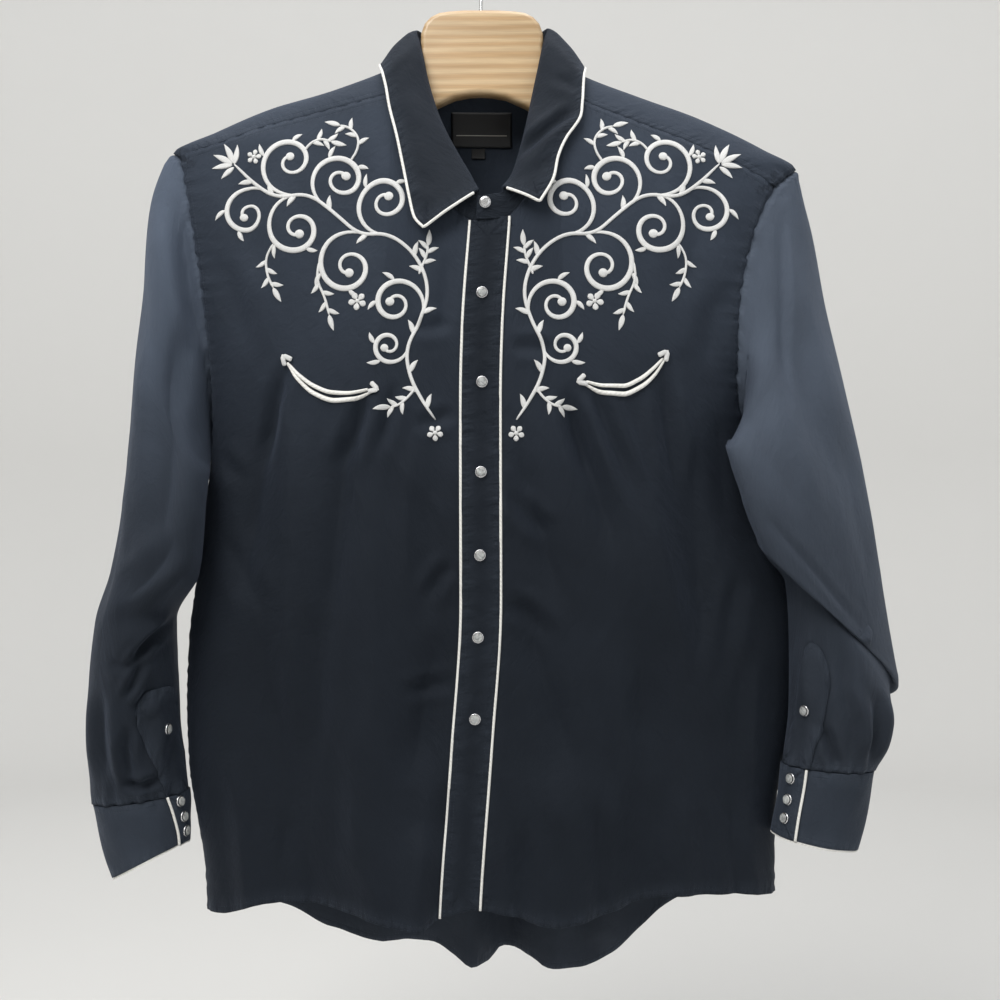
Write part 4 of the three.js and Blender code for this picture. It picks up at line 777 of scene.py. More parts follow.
SLEEVE_CREASES[RIGHT, FRONT] = table("x drop midX midDrop toX toDrop width height hook runs", [
    [-270, 634, -298, 660, -320, 692, 3.4, -6, 0.5, 0],
    [-266, 620, -300, 646, -332, 676, 9, 3, 0.2, 0],
    [-302, 672, -312, 696, -324, 720, 3.6, -3.6, 0.5, 0],
    [-310, 686, -322, 684, -338, 680, 5, -1.6, 0.5, 0],
    [-302, 340, -316, 488, -324, 640, 18, 4, 0.4, 0],
    [-278, 360, -284, 480, -290, 600, 11, -4, 0.5, 0],
    [-283, 250, -270, 335, -256, 398, 8, -4.5, 0.6, 0],
    [-256, 390, -252, 430, -254, 484, 7, -3.5, 0.5, 0],
    [-304, 240, -296, 330, -280, 420, 12, 3, 0.3, 0],
    [-342, 480, -346, 580, -354, 660, 9, -3, 0.5, 0],
    [-268, 560, -296, 600, -330, 628, 9, -3.4, 0.6, 0],
    [-344, 700, -346, 750, -342, 800, 7, -3.4, 0.6, 0],
    [-318, 736, -322, 768, -316, 806, 5, -3.2, 0.7, 0],
    [-298, 716, -296, 752, -302, 800, 6, 3, 0.6, 0],
    [-330, 790, -312, 796, -290, 786, 4, -4, 0.6, 0],
    [-300, 700, -306, 716, -318, 726, 5, -3, 0.6, 0],
])
SLEEVE_CREASES[RIGHT, BACK] = table("x drop midX midDrop toX toDrop width height hook runs", [
    [-290, 300, -306, 440, -318, 600, 14, -4, 0.6, 0],
    [-270, 480, -300, 560, -340, 620, 12, 4, 0.6, 0],
    [-350, 600, -330, 640, -300, 660, 8, -4.5, 0.5, 0],
    [-346, 680, -330, 700, -300, 706, 7, -3.6, 0.5, 0],
    [-330, 720, -332, 760, -328, 806, 6, -3, 0.6, 0],
    [-300, 720, -304, 760, -306, 806, 6, 3, 0.6, 0],
])
SLEEVE_CREASES[LEFT, FRONT] = table("x drop midX midDrop toX toDrop width height hook runs", [
    [246, 538, 300, 596, 368, 668, 4, -1.2, 0.3, 0],
    [247, 378, 284, 470, 330, 590, 19, 2, 0.4, 0],
    [262, 320, 306, 440, 352, 560, 16, -2, 0.5, 0],
    [290, 290, 318, 400, 350, 520, 18, 2, 0.4, 0],
    [236, 440, 262, 500, 306, 560, 10, -1.2, 0.5, 0],
    [281, 256, 283, 340, 282, 470, 7, -2.4, 0.2, 0],
    [288, 262, 289, 350, 289, 480, 5, 2.2, 0.2, 0],
    [340, 460, 356, 540, 374, 630, 11, -1.5, 0.5, 0],
    [311, 734, 318, 758, 324, 784, 4.5, -4, 0.5, 0],
    [338, 700, 350, 740, 346, 782, 6, 3.5, 0.6, 0],
    [362, 706, 366, 740, 352, 782, 6, -3.5, 0.6, 0],
    [330, 650, 332, 700, 336, 730, 8, -3, 0.5, 0],
    [302, 640, 300, 690, 304, 740, 7, 2.6, 0.6, 0],
])
SLEEVE_CREASES[LEFT, BACK] = table("x drop midX midDrop toX toDrop width height hook runs", [
    [280, 320, 318, 440, 350, 600, 15, -4, 0.6, 0],
    [250, 460, 300, 540, 360, 620, 13, 4, 0.6, 0],
    [370, 640, 340, 680, 300, 690, 8, -4.5, 0.5, 0],
    [372, 700, 350, 724, 306, 720, 7, -3.6, 0.5, 0],
    [340, 720, 338, 750, 336, 782, 6, -3, 0.6, 0],
])


def armhole_spot(side, i, out=0.0):
    """The armhole's line, from the underarm up the front, over the shoulder and down the back."""
    i = np.asarray(i, float)
    under, tip = ARMHOLE[side]["drop"][-1], ARMHOLE[side]["drop"][0]
    seam_end = float(shoulder_seam[side](SHOULDER_SEAM[side]["out"][-1]))
    spots = np.zeros(i.shape + (3,))
    front_drop = mix(seam_end, under, np.clip((7 - i) / 7, 0, 1))
    fore_t, aft_t = np.clip(1 - (i - 7) / 3, 0, 1), np.clip((i - 10) / 5, 0, 1)
    back_drop = mix(yoke_end[side], under, np.clip((i - 15) / 5, 0, 1))
    parts = [
        (i < 7, FRONT, side * armhole_out[side, FRONT](front_drop), front_drop),
        ((i >= 7) & (i < 10), FRONT, *np.moveaxis(yoke_spot(side, FRONT, 1.0, fore_t), -1, 0)),
        ((i >= 10) & (i < 15), BACK, *np.moveaxis(yoke_spot(side, BACK, 1.0, aft_t), -1, 0)),
        (i >= 15, BACK, side * armhole_out[side, BACK](back_drop), back_drop),
    ]
    for here, face, x, drop in parts:
        spots[here] = shell(face, x, drop, out)[here]
    return spots


def ring_spot(rows, k, angle):
    """Points of a sleeve's or cuff's rings, at real-numbered rows and angles."""
    at = {name: curve(np.arange(len(column)), column)(k) for name, column in rows.items()}
    middle = np.stack([(at["ox"] + at["ix"]) / 2, at["y"], -(at["odrop"] + at["idrop"]) / 2], -1)
    reach_x, reach_z = (at["ox"] - at["ix"]) / 2, -(at["odrop"] - at["idrop"]) / 2
    toward = np.sqrt(1 - at["turn"] ** 2) * np.cos(angle) + at["turn"] * np.sin(angle)
    return middle + np.stack([
        reach_x * toward, at["deep"] * np.sin(angle), reach_z * toward - at["lift"] * np.sin(angle),
    ], -1)


HEAD_PUSH = {RIGHT: 4, LEFT: 2}


def sleeve_base(side, i, k):
    rows = SLEEVE[side]
    angle = np.pi * (1 + 2 * i / RING)
    share = curve([-1, 0, 1, 2, 40], [0, 0.35, 0.75, 1, 1])(k)[..., None]
    tuck = ease(-2.5 * k - 1.5)
    near = armhole_spot(side, i, -2.8 * tuck)
    push = HEAD_PUSH[side] * (0.1 + 0.9 * np.sin(np.pi * i / RING))
    near = near + np.stack([side * (push * (k + 1) - 3 * tuck), 0 * k, 0 * k], -1)
    return mix(near, ring_spot(rows, np.maximum(k, 0), angle), share)


SLEEVE_COLUMNS, SLEEVE_ROWS = 132, 200
# Painted light: each sleeve has its own paler copy of the cloth, standing in for sheen, with its top painted paler
# still as if lit from above; on the left sleeve the painted lightening fades out at the folded lip, so the forearm
# beneath stays dark as painted shade. The seam-wear colour here is the faded colour lightened to match.
PAINTED_SHEEN_FADED = (0.040, 0.049, 0.065)
sleeve_painted_light_cloth = {
    RIGHT: shirting_finish(
        "shirting_right_sleeve", (0.0135, 0.0168, 0.0230), PAINTED_SHEEN_FADED, [0.0016, 0.006], 5.6, -0.66, -0.2,
    ),
    LEFT: shirting_finish(
        "shirting_left_sleeve", (0.0190, 0.0232, 0.0310), PAINTED_SHEEN_FADED, [0.0016, 0.006], 3.4, -0.77, -0.34,
    ),
}
sleeve_grids = {}
sleeve_rows_at = {}
for side in (RIGHT, LEFT):
    count = len(SLEEVE[side]["ox"])
    trial = np.linspace(-1, count - 1, 600)
    ends = [sleeve_base(side, np.full(600, i), trial) for i in (3.0, 5.0, 10.0)]
    pace = sum(np.linalg.norm(np.diff(line, axis=0), axis=1) for line in ends)
    run = np.concatenate([[0], np.cumsum(pace)])
    rows_at = np.interp(np.linspace(0, run[-1], SLEEVE_ROWS), run, trial)
    columns_at = np.arange(SLEEVE_COLUMNS) * RING / SLEEVE_COLUMNS
    i, k = np.meshgrid(columns_at, rows_at, indexing="ij")
    grid = sleeve_base(side, i, k)
    flip = -1 if side == LEFT else 1
    facing = np.cross(np.roll(grid, -1, 0) - np.roll(grid, 1, 0), np.gradient(grid, axis=1)) * flip
    facing /= np.maximum(np.linalg.norm(facing, axis=-1, keepdims=True), 1e-9)
    before = ease(-facing[..., 1] * 1.6)
    behind = ease(facing[..., 1] * 1.6)
    x, drop = grid[..., 0], -grid[..., 2]
    folds = FOLD_DEPTH * crease_height(SLEEVE_CREASES[side, FRONT], x, drop) * before
    folds += FOLD_DEPTH * crease_height(SLEEVE_CREASES[side, BACK], x, drop) * behind
    folds += slack(x * 1.3 + 40 * side, drop) * (0.45 if side == LEFT else 0.6)
    down = runs(grid)[1]
    from_top, from_cuff = down, down.max(1, keepdims=True) - down
    folds *= ease(from_top / 18) * ease(from_cuff / 12)
    round_run = i / RING * 460
    waves = pucker(np.maximum(from_top - 6, 0), round_run, 15, 1.3, 14) * ease(from_top / 7)
    waves += 0.6 * np.exp(-(((from_top - 8) / 4) ** 2))
    waves += pucker(from_cuff, round_run * 0.6, 16, 1.7, 19)
    height = folds + waves
    sleeve_grids[side] = grid + facing * height[..., None]
    sleeve_rows_at[side] = rows_at
    sleeve = panel(SIDE_NAME[side] + "_sleeve", sleeve_grids[side], CLOTH, ("top", "bottom"), True, side == LEFT)
    dress(sleeve, sleeve_painted_light_cloth[side], "shirting", "sleeve_" + SIDE_NAME[side])

# Cuffs. Each is one stiffened double band, rolled round the wrist and on over its own start,
# with a white cord set in the edge of the outer layer and along the hem.
CUFF = {
    RIGHT: table(RING_NAMES, [
        [-365.6, 820.2, -277.9, 807.9, 38, -20, 0, 0],
        [-360, 844, -276.5, 824, 38, -20, 0, 1],
        [-353.5, 867.5, -276.3, 839.5, 37.5, -21, 0, 2],
        [-346.5, 890, -277.7, 855, 37, -22, 0, 4],
    ]),
    LEFT: table(RING_NAMES, [
        [367.5, 785.4, 283.5, 779.9, 38, -34, 0, 0],
        [363, 809, 280.5, 801, 38, -34, 0, 0],
        [357.7, 833, 277, 822, 37.5, -35, 0, 0],
        [352, 857, 273.5, 843, 37, -36, 0, 0],
    ]),
}
CUFF_COLUMNS, CUFF_OVERLAP, CUFF_LAID = 24, 3, 2.4
CUFF_START = {RIGHT: (-0.13, -1.27), LEFT: (0.27, 0.3)}  # at the cuff's top and at its hem
DOUBLE = 1.7
PIPING = 2.3
bands = shirting_finish("shirting_bands", INK, FADED, [0.0015, 0.0055])
# Painted light: the cuffs are painted about three times paler than the fronts, to go with the sleeves' painted sheen.
cuff_painted_light_cloth = shirting_finish("shirting_cuffs", (0.0250, 0.0310, 0.0420), PAINTED_SHEEN_FADED, [0.0015, 0.0055])


def piping_finish():
    """White twisted cotton cord."""
    finish, tree, shader = new_finish("piping")
    weave = node(tree, "UVMap", set_uv_map="weave").outputs[0]
    twist = node(
        tree, "TexWave", set_wave_type="BANDS", set_bands_direction="DIAGONAL", Vector=weave,
        Scale=150.0, Distortion=0.8, Detail=1.0,
    ).outputs["Fac"]
    where = node(tree, "TexCoord").outputs["Object"]
    grime = node(tree, "TexNoise", Vector=where, Scale=60.0, Detail=3.0).outputs["Fac"]
    colour = node(tree, "MixRGB", Fac=grime, Color1=(0.80, 0.79, 0.75, 1), Color2=(0.62, 0.61, 0.58, 1)).outputs[0]
    link(tree, colour, shader.inputs["Base Color"])
    bump = node(tree, "Bump", Strength=0.8, Distance=0.0003, Height=twist)
    link(tree, bump.outputs[0], shader.inputs["Normal"])
    shader.inputs["Roughness"].default_value = 0.62
    shader.inputs["Sheen Weight"].default_value = 0.15
    return finish


piping = piping_finish()


def tube(name, points, radius, sides=10, taper=None):
    """A round cord along a line of points, closed at both ends."""
    points = np.asarray(points, float)
    heading = np.gradient(points, axis=0)
    heading /= np.linalg.norm(heading, axis=1, keepdims=True)
    side = np.cross(heading[0], [0, 1, 0] if abs(heading[0][1]) < 0.9 else [1, 0, 0])
    width = np.ones(len(points)) if taper is None else np.asarray(taper, float)
    rings = []
    for point, along, share in zip(points, heading, width):
        side = side - along * np.dot(side, along)
        side = side / np.linalg.norm(side)
        up = np.cross(along, side)
        angle = np.linspace(0, 2 * np.pi, sides, endpoint=False)[:, None]
        rings.append(point + radius * share * (side * np.cos(angle) + up * np.sin(angle)))
    run = np.concatenate([[0], np.cumsum(np.linalg.norm(np.diff(points, axis=0), axis=1))]) * 0.001
    spots = np.concatenate(rings + [points[:1], points[-1:]], 0)
    faces = []
    for k in range(len(points) - 1):
        for s in range(sides):
            a, b = k * sides + s, k * sides + (s + 1) % sides
            faces.append([a, b, b + sides, a + sides])
    first, last, end = len(spots) - 2, len(spots) - 1, (len(points) - 1) * sides
    for s in range(sides):
        faces.append([first, (s + 1) % sides, s])
        faces.append([last, end + s, end + (s + 1) % sides])
    piece = make_piece(name, spots, faces)
    lengths = np.concatenate([np.repeat(run, sides), [0, run[-1]]])
    turns = np.concatenate([np.tile(np.arange(sides) / sides, len(points)), [0, 0]]) * 2 * np.pi * radius * 0.001
    give_map(piece.data, "weave", np.stack([lengths, turns], -1))
    return piece


def dense(points, spacing=1.6):
    """The points of a smooth line through given points, at an even spacing."""
    points = np.asarray(points, float)
    length = np.linalg.norm(np.diff(points, axis=0), axis=1).sum()
    return path(points)(np.linspace(0, 1, max(int(length / spacing), 4)))


cuff_grids = {}
for side in (RIGHT, LEFT):
    i, j = np.meshgrid(np.linspace(0, CUFF_COLUMNS + CUFF_OVERLAP, 163), np.linspace(0, 3, 36), indexing="ij")
    angle = np.pi * (1 + 2 * (i + mix(*CUFF_START[side], j / 3)) / CUFF_COLUMNS)
    base = ring_spot(CUFF[side], j, angle)
    facing = np.cross(np.gradient(base, axis=0), np.gradient(base, axis=1)) * (-1 if side == LEFT else 1)
    facing /= np.linalg.norm(facing, axis=-1, keepdims=True)
    over = CUFF_LAID * ease((i - CUFF_COLUMNS + 3) / 3)
    dent = 0.7 * np.sin(angle * 3 + j) * np.sin(np.pi * j / 3) + 0.4 * np.sin(angle * 7 + 2 * j)
    cuff_grids[side] = base + facing * (over + dent)[..., None]
    cuff = panel(SIDE_NAME[side] + "_cuff", cuff_grids[side], DOUBLE, flip=side == LEFT)
    grid = cuff_grids[side]
    onward = grid[-1] - grid[-3]
    onward /= np.linalg.norm(onward, axis=-1, keepdims=True)
    edge = grid[-1] + onward * (PIPING / 2) - facing[-1] * DOUBLE / 2
    downward = grid[:, -1] - grid[:, -3]
    downward /= np.linalg.norm(downward, axis=-1, keepdims=True)
    hem = grid[:, -1] + downward * (PIPING / 2) - facing[:, -1] * DOUBLE / 2
    edge_cord = tube(SIDE_NAME[side] + "_cuff_edge_cord", dense(edge), PIPING / 2 * 1.15)
    hem_cord = tube(SIDE_NAME[side] + "_cuff_hem_cord", dense(hem), PIPING / 2 * 0.6)
    dress(edge_cord, piping, "piping", "cuff_piping_" + SIDE_NAME[side])
    dress(hem_cord, piping, "piping", "cuff_hem_piping_" + SIDE_NAME[side])
    dress(cuff, cuff_painted_light_cloth, "shirting_bands", "cuff_" + SIDE_NAME[side])

# Sleeve plackets. A narrow strip sewn up each sleeve from the cuff, with a pointed upper end.
# The strip's top is in rows of the sleeve's table. "head" and "foot" are its edges, in columns
# counted from the innermost point round the front, at its top and at the cuff.
STRIP_TOP = {RIGHT: 8.3, LEFT: 11.8}
STRIP_HEAD = {RIGHT: (0.4, 4.0), LEFT: (2.0, 3.7)}
STRIP_FOOT = {RIGHT: (0.05, 2.55), LEFT: (0.1, 3.0)}


def sample(grid, i, j, ring=False):
    """Points of a grid at real-numbered columns and rows."""
    i, j = np.broadcast_arrays(np.asarray(i, float), np.asarray(j, float))
    i0 = np.floor(i).astype(int)
    j0 = np.clip(np.floor(j).astype(int), 0, grid.shape[1] - 2)
    s, t = (i - i0)[..., None], (j - j0)[..., None]
    if ring:
        i1, i0 = (i0 + 1) % grid.shape[0], i0 % grid.shape[0]
    else:
        i0 = np.clip(i0, 0, grid.shape[0] - 2)
        i1 = i0 + 1
        s = (i - i0)[..., None]
    return mix(mix(grid[i0, j0], grid[i0, j0 + 1], t), mix(grid[i1, j0], grid[i1, j0 + 1], t), s)


strip_grids = {}
for side in (RIGHT, LEFT):
    grid = sleeve_grids[side]
    top = np.interp(STRIP_TOP[side], sleeve_rows_at[side], np.arange(SLEEVE_ROWS))
    rows = np.linspace(0, 1, 60)
    share = np.linspace(0, 1, 19)
    middle = np.abs(2 * share - 1)
    near, far = (mix(STRIP_HEAD[side][edge], STRIP_FOOT[side][edge], rows[None, :]) for edge in (0, 1))
    columns = mix(near, far, share[:, None]) * SLEEVE_COLUMNS / RING
    starts = top + 8 * (1 - np.sqrt(1 - 0.98 * middle**2.5))
    j = starts[:, None] + (SLEEVE_ROWS - 1 - starts[:, None]) * rows[None, :]
    strip = sample(grid, columns, j, ring=True)
    strip_grids[side] = shift_out(strip, 1.7 + 0.3 * (1 - middle[:, None] ** 4) + 0 * j, -1 if side == LEFT else 1)
    piece = panel(SIDE_NAME[side] + "_sleeve_strip", strip_grids[side], 0.9, flip=side == LEFT)
    dress(piece, sleeve_painted_light_cloth[side], "shirting_bands", "sleeve_placket_" + SIDE_NAME[side])

# Placket. A stitched strip of doubled cotton down the centre of the front, with a white cord
# let in along both its edges. It covers the right front's underlap and carries the snaps.
PLACKET_SNAPS = table("x drop", [
    [2, 346.9], [2, 428], [1.1, 509.1], [0.2, 583.9], [-1.6, 657.7], [-4.3, 731.6],
])
PLACKET_OUT = 1.9


def placket_start(share):
    """The neckline's drop across the placket, from its right edge to its left."""
    return mix(NECKLINE[RIGHT][0][1], NECKLINE[LEFT][0][1], share)


def placket_points(offset, rows, out):
    share = (offset + PLACKET_WIDTH / 2) / PLACKET_WIDTH
    start = placket_start(share)
    end = front_hem(centre_x(905) + offset)
    drop = start + (end - start) * rows
    pull = np.zeros(np.shape(drop))
    for snap_drop in PLACKET_SNAPS["drop"]:
        gap = drop - snap_drop
        pull += -0.5 * np.exp(-((gap / 9) ** 2)) + 0.7 * np.exp(-(((gap - 24 + 0.4 * offset) / 6) ** 2))
        pull -= 0.5 * np.exp(-(((gap - 52 - 0.3 * offset) / 5) ** 2))
    pull *= 1 - (np.abs(offset) / 17) ** 4
    return shell(FRONT, centre_x(drop) + offset, drop, out + pull)


offsets = np.linspace(-PLACKET_WIDTH / 2, PLACKET_WIDTH / 2, 18)
strip_rows = np.linspace(0, 1, 300)
grid = placket_points(offsets[:, None], strip_rows[None, :], PLACKET_OUT)
placket = panel("placket_strip", grid, 1.1, flip=True)
dress(placket, bands, "shirting_bands", "placket")
for side in (RIGHT, LEFT):
    offset = np.array(side * (PLACKET_WIDTH / 2 + 0.9))
    line = placket_points(offset, strip_rows, 1.1)
    cord = tube(SIDE_NAME[side] + "_placket_cord", line, PIPING / 2 * 1.15)
    dress(cord, piping, "piping", "placket_piping_" + SIDE_NAME[side])

# Collar. A stand runs round the neck and a pointed leaf folds over it, both of doubled cotton
# with an interlining, with a white cord along the leaf's outer edge. The left point curls.
COLLAR = table("fx fy fdrop ex edrop lift", [
    [20, -71, 254, 0, 0, 0],
    [-1, -72, 254, -50, 289.5, 11],
    [-9.4, -62, 236, -58.5, 279, 8],
    [-18.6, -53, 219, -64, 257, 6.5],
    [-32, -42, 193, -70, 228, 6],
    [-41.8, -31, 168, -76.5, 198, 6],
    [-50, -20, 138, -83.5, 170, 6],
    [-54.5, -13, 113, -87, 151, 6],
    [-58.5, -6, 97, -90, 137, 7],
    [-61.5, 0, 85, -92.5, 124, 8.5],
    [-54, 14, 84, -79, 136, 11],
    [-40, 24, 84, -57, 140, 7],
    [-21, 31, 86, -29, 142, 7],
    [0, 33, 88, 0, 143, 7],
    [21, 31, 86, 29, 142, 7],
    [40, 24, 83, 58, 140, 7],
    [56, 14, 83, 81, 136, 11],
    [64.2, 0, 83, 94.5, 128, 8.5],
    [61, -6, 94, 95, 139, 6.5],
    [57, -13, 110, 94.5, 152, 6],
    [52.3, -20, 134, 93.5, 167, 6],
    [46, -31, 166, 90.5, 185, 6.5],
    [41.8, -43, 187, 78, 205, 8],
    [34.7, -54, 217, 70, 224, 11],
    [28, -64, 238, 65, 247, 14],
    [20, -73, 251, 53, 268.5, 16],
    [10, -76, 254, 0, 0, 0],
    [-1.5, -76.5, 257, 0, 0, 0],
])
LEAF_FROM, LEAF_TO = 1, 25
RIDGE_ROWS = (9, 17)
STAND_REACH = 0.86
LEAF_OFF_STAND = 4.4


def plain_shell(face, x, drop, out=0.0):
    """Points of the body's cloth without its folds, as scalars."""
    kept = CREASES[face]
    CREASES[face] = {name: column[:0] for name, column in kept.items()}
    spots = shell(face, x, drop, out)
    CREASES[face] = kept
    return spots


right_neck = front_maps[RIGHT](np.array([-1, *np.linspace(0, 5 / 13, 6)]), np.zeros(7))
left_neck = front_maps[LEFT](np.linspace(5 / 13, 0, 6), np.zeros(6))
neck_line = [plain_shell(FRONT, *spot) for spot in right_neck]
neck_line += [plain_shell(FRONT, *yoke_spot(RIGHT, FRONT, 0.0, t)) for t in (2 / 3, 1 / 3)]
neck_line += [plain_shell(FRONT if abs(x) > 78 else BACK, x, back_neck(x)) for x in np.linspace(-79, 79, 9)]
neck_line += [plain_shell(FRONT, *yoke_spot(LEFT, FRONT, 0.0, t)) for t in (1 / 3, 2 / 3)]
neck_line += [plain_shell(FRONT, *spot) for spot in left_neck]
neck_line += [plain_shell(FRONT, x, 280.8) for x in (8.0, -4.0)]
neck_line = np.array([np.reshape(spot, 3) for spot in neck_line])
fold_line = np.stack([COLLAR["fx"], COLLAR["fy"], -COLLAR["fdrop"]], -1)


def away_from_neck(points):
    flat = points * [1, 1, 0] - [0, 4, 0]
    return flat / np.linalg.norm(flat, axis=-1, keepdims=True)


def finer(grid, columns, rows, ring=False):
    """A grid run smoothly through the points of a coarse one."""
    grid = np.asarray(grid, float)
    count_i, count_j = grid.shape[:2]
    at_i = np.linspace(0, count_i - 1, (count_i - 1) * columns + 1)
    at_j = np.linspace(0, count_j - 1, (count_j - 1) * rows + 1)

    def blend(values, at):
        last = len(values) - 1
        low = np.clip(np.floor(at).astype(int), 0, last - 1)
        t = (at - low)[:, None, None]
        p0, p1 = values[np.maximum(low - 1, 0)], values[low]
        p2, p3 = values[low + 1], values[np.minimum(low + 2, last)]
        return 0.5 * (
            2 * p1 + (p2 - p0) * t + (2 * p0 - 5 * p1 + 4 * p2 - p3) * t**2
            + (3 * p1 - p0 - 3 * p2 + p3) * t**3
        )

    wide = blend(grid, at_i)
    return np.moveaxis(blend(np.moveaxis(wide, 1, 0), at_j), 0, 1)


forward = np.where(np.arange(len(neck_line)) > LEAF_TO, -3.4, 0)[:, None] * [0, 1, 0]
low = neck_line + [0, 0, 0.6] + forward
stand_shares = mix(0.035, STAND_REACH, np.arange(4) / 3)
stand_grid = np.stack([mix(low, fold_line, share) for share in stand_shares], 1)
stand_grid += away_from_neck(stand_grid) * 0.8 * np.sin(np.pi * stand_shares)[None, :, None]
stand_fine = finer(stand_grid, 8, 6)
stand = panel("collar_band", stand_fine, DOUBLE, flip=True)
dress(stand, bands, "shirting_bands", "collar_stand")

leaf_rows = range(LEAF_FROM, LEAF_TO + 1)
leaf_shares = [0.05, 0.1, 0.3, 0.6, 1]
columns = []
for k in leaf_rows:
    face = BACK if RIDGE_ROWS[0] < k < RIDGE_ROWS[1] else FRONT
    edge_x = COLLAR["ex"][k]
    edge_drop = COLLAR["edrop"][k]
    if k in RIDGE_ROWS:
        edge_drop = ridge_drop(RIGHT if edge_x < 0 else LEFT, abs(edge_x))
    edge = plain_shell(face, edge_x, edge_drop, COLLAR["lift"][k]).reshape(3)
    around = stand_grid[min(k + 1, 27), 3] - stand_grid[k - 1, 3]
    out = np.cross(stand_grid[k, 3] - stand_grid[k, 2], around)
    out /= np.linalg.norm(out)
    if np.dot(out, away_from_neck(stand_grid[k, 3])) < 0:
        out = -out
    fold = fold_line[k]
    column = [stand_grid[k, 3] - out * 3.0 + [0, 0, -4], stand_grid[k, 3] - out * 2.4 + [0, 0, 1.5], fold + [0, 0, 1.2]]
    for share in leaf_shares[1:]:
        column.append(mix(fold, edge, share) + out * (LEAF_OFF_STAND * (1 - share) + 3 * np.sin(np.pi * share)))
    columns.append(column)
leaf_coarse = np.array(columns)
leaf_fine = finer(leaf_coarse, 8, 7)
LEAF_CREASES = table("x drop midX midDrop toX toDrop width height hook runs", [
    [90, 172, 66, 190, 24, 226, 4.5, -4.5, 0.7, 0],
    [84, 184, 60, 214, 30, 240, 7, 3.5, 0.3, 0],
    [-86, 160, -72, 186, -56, 214, 9, -1.8, 0.6, 0],
    [-70, 240, -56, 256, -40, 262, 7, 1.4, 0.5, 0],
    [70, 134, 80, 144, 92, 146, 6, -2, 0.6, 0],
])
heights = crease_height(LEAF_CREASES, leaf_fine[..., 0], -leaf_fine[..., 2]) * (leaf_fine[..., 1] < 8)
heights *= ease((np.arange(leaf_fine.shape[1]) - 16) / 8)[None, :]
leaf_fine = shift_out(leaf_fine, heights + 0.35 * slack(leaf_fine[..., 0] * 2, leaf_fine[..., 2] * 2), 1)
leaf = panel("collar_fold", leaf_fine, DOUBLE, flip=False)
dress(leaf, bands, "shirting_bands", "collar_leaf")

edge_run = np.concatenate([leaf_fine[0, 20:-1], leaf_fine[:, -1], leaf_fine[-1, -2:19:-1]], 0)
inner_run = np.concatenate([leaf_fine[2, 20:-1], leaf_fine[:, -3], leaf_fine[-3, -2:19:-1]], 0)
outward_run = edge_run - inner_run
outward_run /= np.linalg.norm(outward_run, axis=1, keepdims=True)
collar_cord = tube("collar_cord", dense(edge_run + outward_run * 0.7, 1.8), PIPING / 2 * 1.15)
dress(collar_cord, piping, "piping", "collar_piping")

# Neck label and size tab. Both are bare woven satin, sewn inside the yoke below the stand; the
# label has two thin plain lines across its foot and no lettering.


def satin_finish():
    finish, tree, shader = new_finish("label_satin")
    weave = node(tree, "UVMap", set_uv_map="weave").outputs[0]
    seam = node(tree, "UVMap", set_uv_map="seam").outputs[0]
    down = node(tree, "SeparateXYZ", Vector=weave).outputs[1]
    ribs = node(
        tree, "TexWave", set_wave_type="BANDS", set_bands_direction="Y", Vector=weave,
        Scale=700.0, Distortion=0.3,
    ).outputs["Fac"]
    lines = None
    for at in (0.0225, 0.0300):
        gap = maths(tree, "ABSOLUTE", maths(tree, "SUBTRACT", down, at))
        line = maths(tree, "LESS_THAN", gap, 0.00045)
        lines = line if lines is None else maths(tree, "MAXIMUM", lines, line)
    inset = maths(tree, "GREATER_THAN", node(tree, "SeparateXYZ", Vector=seam).outputs[1], 0.005)
    lines = maths(tree, "MULTIPLY", lines, inset)
    colour = node(tree, "MixRGB", Fac=lines, Color1=(0.006, 0.0065, 0.008, 1), Color2=(0.42, 0.4, 0.36, 1)).outputs[0]
    link(tree, colour, shader.inputs["Base Color"])
    link(tree, node(tree, "Bump", Strength=0.5, Distance=0.0002, Height=ribs).outputs[0], shader.inputs["Normal"])
    shader.inputs["Roughness"].default_value = 0.38
    shader.inputs["Anisotropic"].default_value = 0.4
    return finish


label_satin = satin_finish()
for name, node_name, x0, x1, top, foot, curl in [
    ("woven_label", "neck_label", -30, 30, 151, 185, 1.2), ("woven_size_tab", "size_tab", -10, 3.5, 186, 196, 0.6),
]:
    xs, drops = np.meshgrid(np.linspace(x0, x1, 25), np.linspace(top, foot, 20), indexing="ij")
    inside = 1.9 + curl * ((drops - top) / (foot - top)) ** 2
    sheet_grid = shell(BACK, xs, drops, -inside)
    piece = panel(name, sheet_grid, 0.5, flip=True)
    dress(piece, label_satin, "label_satin", node_name)

# Smile pockets. Each mouth is two padded white welts that meet at both ends, where an arrow tab
# of white satin stitch holds them down. The welts are on the photograph's curves.
WELTS = {
    RIGHT: [
        table("x drop wide", [
            [-176, 409, 2.2], [-164, 421, 3.2], [-151, 430.5, 3.8], [-135, 436.5, 4.0], [-120, 437.5, 3.6],
            [-101, 434.5, 2.6],
        ]),
        table("x drop wide", [
            [-176, 410, 2.2], [-166, 423.5, 3.2], [-150.5, 437.5, 4.2], [-131.5, 444, 4.6], [-115, 443, 4.2],
            [-99, 437.5, 2.4],
        ]),
    ],
    LEFT: [
        table("x drop wide", [
            [96, 427.5, 2.6], [113, 431, 3.6], [129, 431, 4.0], [144, 425, 3.8], [157, 415, 3.2],
            [166, 405.5, 2.2],
        ]),
        table("x drop wide", [
            [95, 430, 2.4], [112, 437.5, 4.2], [129, 438.5, 4.6], [145, 432, 4.2], [159, 420, 3.2],
            [167, 407.5, 2.2],
        ]),
    ],
}
TABS = {RIGHT: [(-178.5, 404.5, -128), (-94, 434, 18)], LEFT: [(168.5, 401, -52), (90.5, 427, 162)]}


